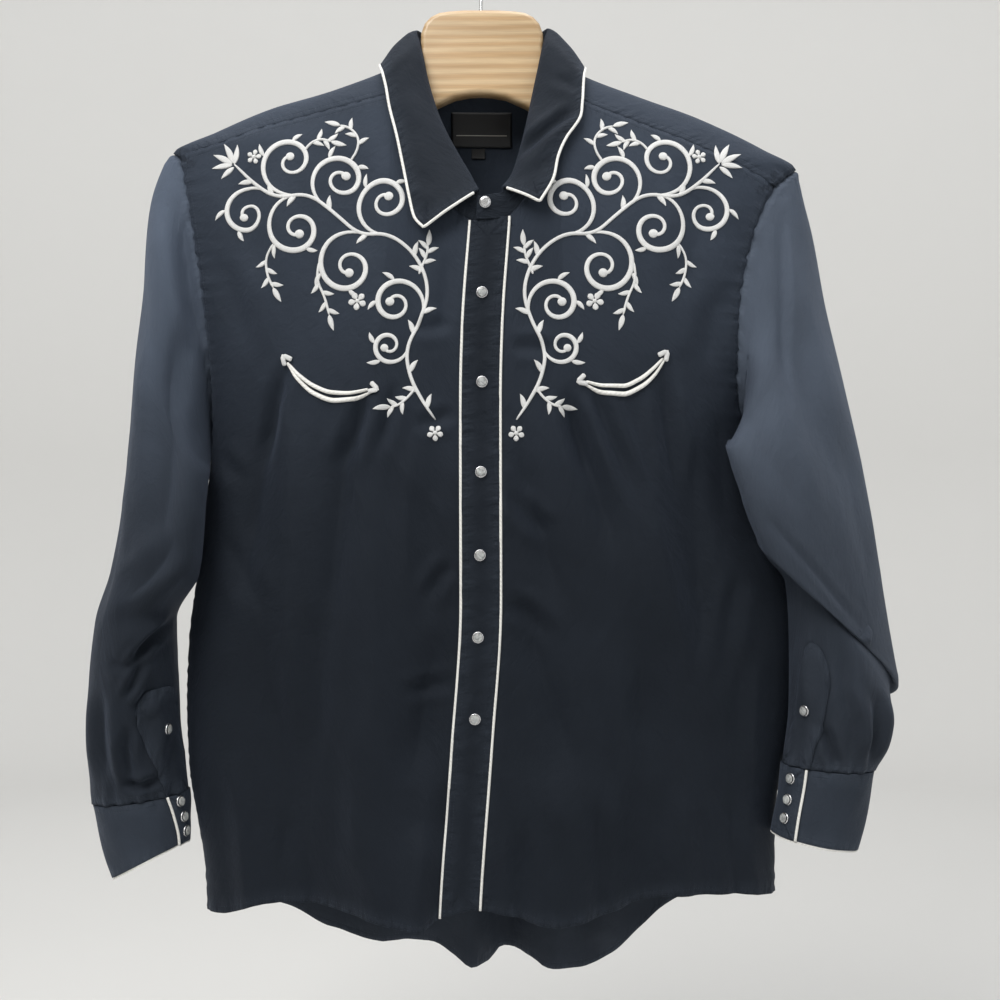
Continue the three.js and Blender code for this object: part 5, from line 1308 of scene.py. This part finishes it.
def laid_ribbon(x, drop, wide, tall, groove=0.0, base=0.35):
    """One domed band of thread laid on the front along a line: its points and their faces.

    The section has eight points, and "groove" is how far its middle is pressed in.
    """
    x, drop, wide = (np.asarray(v, float) for v in (x, drop, wide))
    dx, dd = np.gradient(x), np.gradient(drop)
    length = np.maximum(np.hypot(dx, dd), 1e-6)
    nx, nd = -dd / length, dx / length
    share = np.array([-1, -0.86, -0.5, 0, 0.5, 0.86, 1, 0])
    rise = np.array([-0.25, 0.55, 0.95, 1 - groove, 0.95, 0.55, -0.25, -0.3])
    px = x[:, None] + nx[:, None] * wide[:, None] / 2 * share
    pd = drop[:, None] + nd[:, None] * wide[:, None] / 2 * share
    fullness = np.clip(wide / max(wide.max(), 1e-6), 0.25, 1)[:, None]
    spots = shell(FRONT, px, pd, base + tall * rise * fullness)
    run = np.concatenate([[0], np.cumsum(length[1:])])
    maps = np.stack([np.repeat(run[:, None], 8, 1), share * wide[:, None] / 2 + 0 * px], -1) * 0.001
    faces = []
    for k in range(len(x) - 1):
        for s in range(8):
            a, b = 8 * k + s, 8 * k + (s + 1) % 8
            faces.append([a, a + 8, b + 8, b])
    end = 8 * (len(x) - 1)
    faces.append(list(range(8)))
    faces.append([end + s for s in reversed(range(8))])
    return spots.reshape(-1, 3), maps.reshape(-1, 2), faces


def joined(name, parts):
    """One piece from several (points, maps, faces) parts."""
    spots, maps, faces, count = [], [], [], 0
    for points, uv, part_faces in parts:
        spots.append(points)
        maps.append(uv)
        faces += [[v + count for v in face] for face in part_faces]
        count += len(points)
    piece = make_piece(name, np.concatenate(spots), faces)
    give_map(piece.data, "weave", np.concatenate(maps))
    bm = bmesh.new()
    bm.from_mesh(piece.data)
    bmesh.ops.recalc_face_normals(bm, faces=bm.faces)
    bm.to_mesh(piece.data)
    bm.free()
    return piece


def thread_finish():
    """Bright white rayon embroidery thread laid in satin stitch, with its fine ribs across."""
    finish, tree, shader = new_finish("embroidery_thread")
    weave = node(tree, "UVMap", set_uv_map="weave").outputs[0]
    ribs = node(
        tree, "TexWave", set_wave_type="BANDS", set_bands_direction="X", Vector=weave,
        Scale=560.0, Distortion=2.0, Detail=2.0, Detail_Scale=1.5,
    ).outputs["Fac"]
    fuzz = node(tree, "TexNoise", Vector=weave, Scale=1500.0, Detail=2.0).outputs["Fac"]
    # Painted shade and highlight: the thread is painted grey in the grooves between its ribs and white on their crests.
    colour = node(tree, "MixRGB", Fac=ribs, Color1=(0.58, 0.58, 0.57, 1), Color2=(0.86, 0.86, 0.85, 1)).outputs[0]
    link(tree, colour, shader.inputs["Base Color"])
    height = maths(tree, "ADD", ribs, maths(tree, "MULTIPLY", fuzz, 0.4))
    link(tree, node(tree, "Bump", Strength=0.9, Distance=0.00025, Height=height).outputs[0], shader.inputs["Normal"])
    shader.inputs["Roughness"].default_value = 0.42
    shader.inputs["Anisotropic"].default_value = 0.5
    shader.inputs["Sheen Weight"].default_value = 0.25
    shader.inputs["Sheen Roughness"].default_value = 0.3
    return finish


thread = thread_finish()
ARROW_LENGTH, ARROW_WIDE, ARROW_OPEN = 10.5, 4.6, 27
for side in (RIGHT, LEFT):
    which = SIDE_NAME[side]
    for rows, name in zip(WELTS[side], ("upper", "lower")):
        line = path(np.stack([rows["x"], rows["drop"], rows["wide"]], -1))(np.linspace(0, 1, 70))
        part = laid_ribbon(line[:, 0], line[:, 1], line[:, 2], 2.4, base=0.6)
        welt = joined(f"{which}_pocket_welt_{name}", [part])
        dress(welt, piping, "piping", f"pocket_welt_{name}_{which}")
    for (tip_x, tip_drop, heading), name in zip(TABS[side], ("outer", "inner")):
        arms = []
        for turn in (-ARROW_OPEN, ARROW_OPEN):
            back = np.radians(heading + 180 + turn)
            share = np.linspace(-0.5, 0.5, 15)
            width = ARROW_WIDE * np.clip(3 * (share + 0.54), 0.12, 1) * np.clip(14 * (0.54 - share), 0.5, 1)
            x = tip_x + np.cos(np.radians(heading)) * 3 + np.cos(back) * ARROW_LENGTH * (share + 0.42)
            drop = tip_drop + np.sin(np.radians(heading)) * 3 + np.sin(back) * ARROW_LENGTH * (share + 0.42)
            arms.append(laid_ribbon(x, drop, width, 1.7, groove=0.15, base=1.5))
        tab = joined(f"{which}_pocket_arrow_{name}", arms)
        dress(tab, thread, "piping", f"pocket_tab_{name}_{which}")

# Embroidery. A plain garland of scrolls, leaves and small five-petalled blossoms in padded white
# satin stitch, of this part's own drawing, worked over each side of the chest and mirrored.


def flowing(points, count):
    """An even, rounded line through points, whose corners are softened like a drawn stem."""
    line = np.asarray(points, float)
    for _ in range(4):
        inner = np.stack([mixed for pair in zip(0.75 * line[:-1] + 0.25 * line[1:], 0.25 * line[:-1] + 0.75 * line[1:])
                          for mixed in pair])
        line = np.concatenate([line[:1], inner, line[-1:]])
    run = np.concatenate([[0], np.cumsum(np.hypot(*np.diff(line, axis=0).T))])
    even = np.linspace(0, run[-1], count)
    return np.stack([np.interp(even, run, line[:, 0]), np.interp(even, run, line[:, 1])], -1)


def heading_of(line):
    dx, dd = np.gradient(line, axis=0).T
    return np.degrees(np.arctan2(dd, dx))


def stem_stroke(points, wide):
    line = flowing(points, 90)
    share = np.linspace(0, 1, len(line))
    return line[:, 0], line[:, 1], wide * np.clip(0.35 + 1.3 * np.sin(np.pi * share) ** 0.5, 0, 1), 0.0


def knob_stroke(x, drop, radius):
    """A round padded end."""
    share = np.linspace(-1, 1, 13)
    return x + radius * share, drop + 0 * share, 2 * radius * np.sqrt(np.clip(1 - share**2, 0.02, 1)), -0.4


def scroll_strokes(vine, x, drop, end, sweep, wide, forward):
    """A scroll that leaves the vine where it passes nearest (x, drop) and winds in round it."""
    gap = np.hypot(vine[:, 0] - x, vine[:, 1] - drop)
    k = int(np.clip(np.argmin(gap), 1, len(vine) - 2))
    along = (vine[k + 1] - vine[k - 1]) * forward
    out = vine[k] - [x, drop]
    way = 1 if along[1] * out[0] - along[0] * out[1] > 0 else -1
    t = np.linspace(0, 1, max(int(sweep / 7), 12))
    angle = np.arctan2(out[1], out[0]) + way * np.radians(sweep) * t
    radius = gap[k] * (end / gap[k]) ** (t**1.15)
    width = wide * (0.42 + 0.58 * np.sin(np.pi * np.clip(t * 1.3, 0, 1) ** 0.8))
    width = np.maximum(width, wide * np.where(t > 0.5, 0.62, 0.42))
    px, pd = x + radius * np.cos(angle), drop + radius * np.sin(angle)
    strokes = [(px, pd, width, 0.0), knob_stroke(px[-1], pd[-1], wide * 0.78)]
    for place, length in ((0.22, 13), (0.36, 11)):
        k = int(place * (len(t) - 1))
        outward = np.degrees(angle[k])
        strokes.append(leaf_stroke(
            px[k] + 1.6 * np.cos(angle[k]), pd[k] + 1.6 * np.sin(angle[k]), outward + way * 48, length, 4.4, way * 0.3,
        ))
    return strokes


def leaf_stroke(x, drop, heading, length, wide, bend):
    share = np.linspace(0, 1, 17)
    angle = np.radians(heading) + bend * (share - 0.3) * 2
    step = length * np.gradient(share)
    px = x + np.concatenate([[0], np.cumsum(np.cos(angle) * step)[:-1]])
    pd = drop + np.concatenate([[0], np.cumsum(np.sin(angle) * step)[:-1]])
    return px, pd, wide * np.maximum(np.sin(np.pi * share**0.8) ** 0.85, 0.1), 0.3


def petal_strokes(x, drop, petal, turn):
    strokes = []
    share = np.linspace(0, 1, 11)
    for k in range(5):
        angle = np.radians(turn + 72 * k)
        reach = 1.4 + petal * share
        width = petal * 0.82 * np.maximum(np.sin(np.pi * share**1.35) ** 0.6, 0.14)
        strokes.append((x + np.cos(angle) * reach, drop + np.sin(angle) * reach, width, 0.25))
    strokes.append(knob_stroke(x, drop, 2.0))
    return strokes


MAIN_VINE = [
    (33, 462), (44, 446), (56, 424), (60, 398), (46, 372), (38, 344), (50, 312), (76, 292), (104, 292), (126, 272),
    (152, 252), (178, 258), (200, 244), (222, 222),
]
SCROLLS = table("x drop end sweep wide forward", [
    [75, 395, 4.5, 500, 4.6, -1],
    [69, 357, 5.5, 540, 5.2, 1],
    [79, 263, 6.0, 560, 5.4, 1],
    [112, 322, 6.0, 560, 5.4, 1],
    [121, 240, 6.0, 550, 5.4, 1],
    [160, 286, 5.5, 550, 5.4, 1],
    [168, 222, 5.5, 540, 5.2, 1],
    [208, 270, 5.0, 520, 4.8, 1],
])
SIDE_VINES = [
    [(140, 318), (142, 334), (134, 350), (130, 366)],
    [(182, 300), (190, 312), (188, 328), (182, 340)],
    [(113, 222), (106, 212), (105, 200), (113, 190), (123, 187)],
    [(156, 212), (150, 204), (141, 200), (131, 203)],
    [(48, 330), (45, 322), (41, 313), (40, 304)],
    [(51, 434), (58, 443), (66, 449), (74, 450)],
]
FAN = table("x drop heading length wide", [
    [222, 222, -100, 19, 5.6], [223, 221, -66, 22, 6.0], [224, 222, -32, 22, 6.0], [224, 223, 2, 20, 5.6],
    [222, 225, 38, 16, 5.2],
])
BLOSSOMS = table("x drop petal turn", [[104, 354, 7.0, 10], [203, 216, 5.6, 40], [33, 474, 6.0, 20]])


def garland():
    strokes = []
    vine = flowing(MAIN_VINE, 400)
    strokes.append(stem_stroke(MAIN_VINE, 3.4))
    for row in zip(*SCROLLS.values()):
        strokes += scroll_strokes(vine, *row)
    for number, share in enumerate([0.035, 0.085, 0.135, 0.235, 0.29, 0.40, 0.445, 0.585, 0.70, 0.80, 0.86, 0.93]):
        k = int(share * 399)
        side = 1 if number % 2 else -1
        strokes.append(leaf_stroke(*vine[k], heading_of(vine)[k] + side * 42, 14, 5.0, side * 0.3))
    for points in SIDE_VINES:
        line = flowing(points, 60)
        turn = heading_of(line)
        strokes.append(stem_stroke(points, 2.4))
        strokes.append(leaf_stroke(*line[-1], turn[-1], 15, 5.2, 0.1))
        for k, side in ((52, 1), (44, -1), (32, 1), (22, -1)):
            strokes.append(leaf_stroke(*line[k], turn[k] + side * 46, 12, 4.4, side * 0.3))
    for row in zip(*FAN.values()):
        strokes.append(leaf_stroke(*row, 0.15))
    for row in zip(*BLOSSOMS.values()):
        strokes += petal_strokes(*row)
    return strokes


MIRROR = -3.5
for side in (RIGHT, LEFT):
    parts = []
    for x, drop, width, groove in garland():
        if side == RIGHT:
            x = 2 * MIRROR - x
        parts.append(laid_ribbon(x, drop, width, 1.05, groove=groove))
    worked = joined("embroidery_" + SIDE_NAME[side], parts)
    dress(worked, thread, "piping")

# Snaps. Each is a domed pearl cap held in a rolled metal rim; the caps are copies of one cap.
CAP_RADIUS, RIM_RADIUS, RIM_WIRE = 4.1, 4.6, 0.7


def pearl_finish():
    finish, tree, shader = new_finish("pearl")
    where = node(tree, "TexCoord").outputs["Object"]
    cloud = node(tree, "TexNoise", Vector=where, Scale=170.0, Detail=3.0, Distortion=2.2).outputs["Fac"]
    ramp = node(tree, "ValToRGB", Fac=cloud)
    ramp.color_ramp.elements[0].position, ramp.color_ramp.elements[1].position = 0.35, 0.68
    ramp.color_ramp.elements[0].color = (0.20, 0.205, 0.205, 1)
    ramp.color_ramp.elements[1].color = (0.50, 0.505, 0.49, 1)
    link(tree, ramp.outputs[0], shader.inputs["Base Color"])
    shader.inputs["Roughness"].default_value = 0.22
    shader.inputs["Coat Weight"].default_value = 0.6
    shader.inputs["Coat Roughness"].default_value = 0.08
    shader.inputs["Subsurface Weight"].default_value = 0.05
    return finish


def rim_finish():
    finish, tree, shader = new_finish("snap_rim")
    where = node(tree, "TexCoord").outputs["Object"]
    scuffs = node(tree, "TexNoise", Vector=where, Scale=900.0, Detail=3.0).outputs["Fac"]
    rough = node(tree, "MapRange", Value=scuffs)
    for k, value in enumerate([0.3, 0.7, 0.18, 0.34], 1):
        rough.inputs[k].default_value = value
    link(tree, rough.outputs[0], shader.inputs["Roughness"])
    tone = node(tree, "MixRGB", Fac=scuffs, Color1=(0.62, 0.62, 0.63, 1), Color2=(0.8, 0.8, 0.81, 1)).outputs[0]
    link(tree, tone, shader.inputs["Base Color"])
    shader.inputs["Metallic"].default_value = 1.0
    return finish


bpy.ops.object.select_all(action="DESELECT")
bpy.ops.mesh.primitive_uv_sphere_add(segments=28, ring_count=16, radius=CAP_RADIUS * 0.001, location=(0, 0, 0))
cap = bpy.context.active_object
bpy.ops.object.mode_set(mode="EDIT")
bpy.ops.mesh.select_all(action="SELECT")
bpy.ops.mesh.bisect(plane_co=(0, 0, 0), plane_no=(0, 0, 1), clear_inner=True, use_fill=True)
bpy.ops.mesh.select_all(action="SELECT")
bpy.ops.transform.resize(value=(1, 1, 0.16))
bpy.ops.transform.translate(value=(0, 0, 0.0009))
bpy.ops.object.mode_set(mode="OBJECT")
bpy.ops.object.select_all(action="DESELECT")
bpy.ops.mesh.primitive_torus_add(
    major_segments=32, minor_segments=10, major_radius=RIM_RADIUS * 0.001, minor_radius=RIM_WIRE * 0.001,
    location=(0, 0, 0),
)
rim = bpy.context.active_object
bpy.ops.object.mode_set(mode="EDIT")
bpy.ops.mesh.select_all(action="SELECT")
bpy.ops.transform.resize(value=(1, 1, 1.15))
bpy.ops.transform.translate(value=(0, 0, 0.0009))
bpy.ops.object.mode_set(mode="OBJECT")
pearl, rim_metal = pearl_finish(), rim_finish()


def seat(grid, centre):
    """The point of a piece of cloth under a snap, and the direction out of it there."""
    i, j = np.unravel_index(np.argmin(np.linalg.norm(grid - centre, axis=-1)), grid.shape[:2])
    i, j = np.clip(i, 2, grid.shape[0] - 3), np.clip(j, 2, grid.shape[1] - 3)
    normal = np.cross(grid[i + 2, j] - grid[i - 2, j], grid[i, j + 2] - grid[i, j - 2])
    normal /= np.linalg.norm(normal) * (-1 if normal[1] > 0 else 1)
    gap = centre - grid[i, j]
    return grid[i, j] + gap - normal * np.dot(gap, normal), normal


placket_grid = placket_points(offsets[:, None], strip_rows[None, :], PLACKET_OUT)
snap_cloth = {f"snap_front_{number}": placket_grid for number in range(1, 7)}
snap_cloth["snap_collar"] = stand_fine
for side in (RIGHT, LEFT):
    for number in (1, 2, 3):
        snap_cloth[f"snap_cuff_{SIDE_NAME[side]}_{number}"] = cuff_grids[side]
    snap_cloth[f"snap_sleeve_{SIDE_NAME[side]}"] = strip_grids[side]
snap_spots = {}
for name, cloth in snap_cloth.items():
    low_corner, high_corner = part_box(name)
    snap_spots[name] = seat(cloth, (np.array(low_corner) + np.array(high_corner)) * 500)
for name, (spot, normal) in snap_spots.items():
    turned = Vector(normal).to_track_quat("Z", "Y").to_matrix().to_4x4()
    placed = Matrix.Translation(Vector(spot * 0.001)) @ turned
    filling = rim_metal if name == "snap_collar" else pearl
    for master, finish, slot, label in ((cap, filling, "pearl", "_cap"), (rim, rim_metal, "steel_wire", "_rim")):
        mesh = master.data.copy()
        mesh.transform(placed)
        mesh.shade_smooth()
        piece = bpy.data.objects.new(name + label, mesh)
        bpy.context.scene.collection.objects.link(piece)
        dress(piece, finish, slot, *([name] if label == "_cap" else []))
bpy.data.objects.remove(cap)
bpy.data.objects.remove(rim)

# Hanger bar. One piece of pine with a broad domed neck and two arms that slope inside the
# shoulders, sawn flat, its edges rounded over and sealed with a clear satin lacquer.
DOME = table("out drop", [
    [0, 66], [16, 66], [30, 67], [40, 68.5], [48, 72.5], [54, 79], [57.2, 88], [57.6, 96], [57, 102], [60, 112],
    [68, 121],
])
ARM_TOP = [82, 110, 145, 175, 203, 228]
ARM_TIP = table("out below", [[240, 6], [247, 11], [249, 18], [247, 24], [240, 29]])
ARM_LOWER = table("out drop", [
    [228, 211], [215, 207], [170, 194], [125, 184], [85, 176], [60, 168], [42, 158], [24, 150], [10, 147.5], [0, 147],
])
BAR_THICKNESS = 18


def bar_half(side):
    top_of = lambda out: float(ridge_drop(side, out)) + 7
    widen, sink = (2, 4) if side == LEFT else (0, 0)
    points = [(out + widen * (out > 20), drop) for out, drop in zip(*DOME.values())]
    points += [(out, top_of(out)) for out in ARM_TOP]
    points += [(out, top_of(228) + below) for out, below in zip(*ARM_TIP.values())]
    points += [(out, drop + sink * (out > 60)) for out, drop in zip(*ARM_LOWER.values())]
    return [(side * out, drop) for out, drop in points]


outline = bar_half(LEFT) + bar_half(RIGHT)[::-1][1:-1]
bpy.ops.object.select_all(action="DESELECT")
bpy.ops.mesh.primitive_circle_add(vertices=len(outline), fill_type="NGON", radius=0.1, location=(0, 0, 0))
bar = bpy.context.active_object
for vertex, (x, drop) in zip(bar.data.vertices, outline):
    vertex.co = (x * 0.001, -BAR_THICKNESS / 2 * 0.001, -drop * 0.001)
bpy.ops.object.mode_set(mode="EDIT")
bpy.ops.mesh.select_all(action="SELECT")
bpy.ops.mesh.extrude_region_move(TRANSFORM_OT_translate={"value": (0, BAR_THICKNESS * 0.001, 0)})
bpy.ops.mesh.select_all(action="SELECT")
bpy.ops.mesh.normals_make_consistent(inside=False)
bpy.ops.object.mode_set(mode="OBJECT")
bar.name = bar.data.name = "pine_hanger_bar"
apply_modifier(bar, "BEVEL", width=0.005, segments=5, limit_method="ANGLE", angle_limit=np.radians(60), profile=0.5)
bpy.ops.object.shade_smooth_by_angle(angle=np.radians(40))


def pine_finish():
    """Pale pine: long growth bands along the bar, broad darker drifts, fine fibres and a thin lacquer."""
    finish, tree, shader = new_finish("wood")
    where = node(tree, "TexCoord").outputs["Object"]
    stretched = node(tree, "Mapping", Vector=where, Scale=(3.2, 14.0, 26.0), Rotation=(0.0, 0.06, 0.0)).outputs[0]
    drift = node(tree, "TexNoise", Vector=stretched, Scale=1.1, Detail=2.0, Roughness=0.5).outputs["Fac"]
    bands = node(
        tree, "TexWave", set_wave_type="BANDS", set_bands_direction="Z", Vector=stretched,
        Scale=1.3, Distortion=5.0, Detail=2.0, Detail_Scale=0.7,
    ).outputs["Fac"]
    fibre_at = node(tree, "Mapping", Vector=where, Scale=(28.0, 500.0, 900.0)).outputs[0]
    fibre = node(tree, "TexNoise", Vector=fibre_at, Scale=1.0, Detail=3.0, Roughness=0.6).outputs["Fac"]
    ramp = node(tree, "ValToRGB", Fac=bands)
    ramp.color_ramp.elements[0].position, ramp.color_ramp.elements[1].position = 0.1, 0.95
    ramp.color_ramp.elements[0].color = (0.57, 0.37, 0.185, 1)
    ramp.color_ramp.elements[1].color = (0.69, 0.50, 0.29, 1)
    warmed = node(tree, "MixRGB", set_blend_type="MULTIPLY", Fac=0.5, Color1=ramp.outputs[0], Color2=drift).outputs[0]
    fine = node(tree, "MapRange", Value=fibre)
    for k, value in enumerate([0.3, 0.7, 0.86, 1.06], 1):
        fine.inputs[k].default_value = value
    colour = node(tree, "MixRGB", set_blend_type="MULTIPLY", Fac=1.0, Color1=warmed, Color2=fine.outputs[0]).outputs[0]
    link(tree, colour, shader.inputs["Base Color"])
    link(tree, node(tree, "Bump", Strength=0.3, Distance=0.0003, Height=fibre).outputs[0], shader.inputs["Normal"])
    shader.inputs["Roughness"].default_value = 0.42
    shader.inputs["Coat Weight"].default_value = 0.25
    shader.inputs["Coat Roughness"].default_value = 0.25
    return finish


dress(bar, pine_finish(), "wood", "hanger_bar")

# Hook. One bent steel wire whose straight stem stands in a blind hole in the bar's neck.
HOOK_WIRE, HOOK_RADIUS, STEM_FOOT = 3.5, 20, 78


def wire_finish():
    finish, tree, shader = new_finish("steel_wire")
    weave = node(tree, "UVMap", set_uv_map="weave").outputs[0]
    drawn = node(tree, "Mapping", Vector=weave, Scale=(60.0, 4000.0, 1.0)).outputs[0]
    streaks = node(tree, "TexNoise", Vector=drawn, Scale=1.0, Detail=3.0).outputs["Fac"]
    tone = node(tree, "MixRGB", Fac=streaks, Color1=(0.60, 0.60, 0.61, 1), Color2=(0.78, 0.78, 0.78, 1)).outputs[0]
    link(tree, tone, shader.inputs["Base Color"])
    link(tree, node(tree, "Bump", Strength=0.2, Distance=0.0002, Height=streaks).outputs[0], shader.inputs["Normal"])
    shader.inputs["Metallic"].default_value = 1.0
    shader.inputs["Roughness"].default_value = 0.24
    return finish


bend_radius = HOOK_RADIUS + HOOK_WIRE / 2
bend = np.radians(np.linspace(-38, 187, 46))
wire_line = [(0, 0, -STEM_FOOT), (0, 0, -66), (0, 0, -56), (1.5, 0, -50.5), (6, 0, -45.5), (12.5, 0, -40.5)]
wire_line += [(bend_radius * np.cos(a), 0, bend_radius * np.sin(a) - HOOK_RADIUS) for a in bend]
hook = tube("wire_hook", dense(wire_line, 1.5), HOOK_WIRE / 2, 16)
dress(hook, wire_finish(), "steel_wire", "hanger_hook")

# Studio. A pale floor that sweeps up all round into a pale backdrop, soft lamps and a camera
# at the photograph's height and distance.
STAGE_RADIUS, STAGE_FLOOR, SWEEP = 3.4, -1.28, 0.9


def studio():
    profile = [(0.0, STAGE_FLOOR)]
    profile += [(STAGE_RADIUS - SWEEP + SWEEP * np.sin(a), STAGE_FLOOR + SWEEP - SWEEP * np.cos(a))
                for a in np.linspace(0, np.pi / 2, 14)]
    profile += [(STAGE_RADIUS, 3.0)]
    turns = 72
    spots, faces = [(0.0, 0.0, STAGE_FLOOR)], []
    for radius, height in profile[1:]:
        for k in range(turns):
            angle = 2 * np.pi * k / turns
            spots.append((radius * np.cos(angle), radius * np.sin(angle), height))
    for k in range(turns):
        faces.append([0, 1 + k, 1 + (k + 1) % turns])
    for ring in range(len(profile) - 2):
        for k in range(turns):
            a, b = 1 + ring * turns + k, 1 + ring * turns + (k + 1) % turns
            faces.append([a, a + turns, b + turns, b])
    sweep = make_piece("backdrop", np.array(spots) * 1000, faces)
    finish, tree, shader = new_finish("backdrop")
    where = node(tree, "TexCoord").outputs["Object"]
    mottle = node(tree, "TexNoise", Vector=where, Scale=1.2, Detail=2.0).outputs["Fac"]
    # Painted shade: the backdrop is painted very slightly darker towards the floor.
    height = node(tree, "MapRange", Value=node(tree, "SeparateXYZ", Vector=where).outputs[2])
    for k, value in enumerate([-1.25, 0.1, 0.92, 0.94], 1):
        height.inputs[k].default_value = value
    pale = node(tree, "MixRGB", Fac=mottle, Color1=(0.66, 0.655, 0.64, 1), Color2=(0.69, 0.685, 0.67, 1)).outputs[0]
    colour = node(tree, "MixRGB", set_blend_type="MULTIPLY", Fac=1.0, Color1=pale, Color2=height.outputs[0]).outputs[0]
    link(tree, colour, shader.inputs["Base Color"])
    shader.inputs["Roughness"].default_value = 0.9
    sweep.data.materials.append(finish)


studio()


def lamp(name, place, target, size, watts, colour):
    light = bpy.data.lights.new(name, "AREA")
    light.shape, light.size, light.size_y = "RECTANGLE", *size
    light.energy, light.color = watts, colour
    held = bpy.data.objects.new(name, light)
    held.location = place
    held.rotation_euler = (Vector(target) - Vector(place)).to_track_quat("-Z", "Y").to_euler()
    held.visible_camera = False
    bpy.context.scene.collection.objects.link(held)


MIDDLE = (0, 0, -0.5)
lamp("key", (-1.1, -1.7, 1.5), (0, 0, -0.3), (1.4, 1.4), 62, (1.0, 0.99, 0.97))
lamp("fill", (1.9, -1.9, 0.1), MIDDLE, (1.8, 1.8), 12, (0.93, 0.97, 1.0))
lamp("top", (0.3, -0.5, 1.9), (0, 0, -0.3), (1.8, 1.4), 34, (1.0, 1.0, 1.0))
lamp("wall", (0, 1.0, 2.1), (0, 3.0, -0.9), (2.4, 1.6), 30, (1.0, 1.0, 1.0))
world = bpy.data.worlds.new("studio")
world.use_nodes = True
world.node_tree.nodes["Background"].inputs[0].default_value = (0.95, 0.97, 1.0, 1)
world.node_tree.nodes["Background"].inputs[1].default_value = 0.5
bpy.context.scene.world = world
bpy.context.scene.view_settings.view_transform = "Standard"
camera_data = bpy.data.cameras.new("camera")
camera_data.lens, camera_data.sensor_width = 48.75, 36
camera = bpy.data.objects.new("camera", camera_data)
camera.location = (0.0182, -1.3, -0.5343)
camera.rotation_euler = (np.pi / 2, 0, 0)
bpy.context.scene.collection.objects.link(camera)
bpy.context.scene.camera = camera
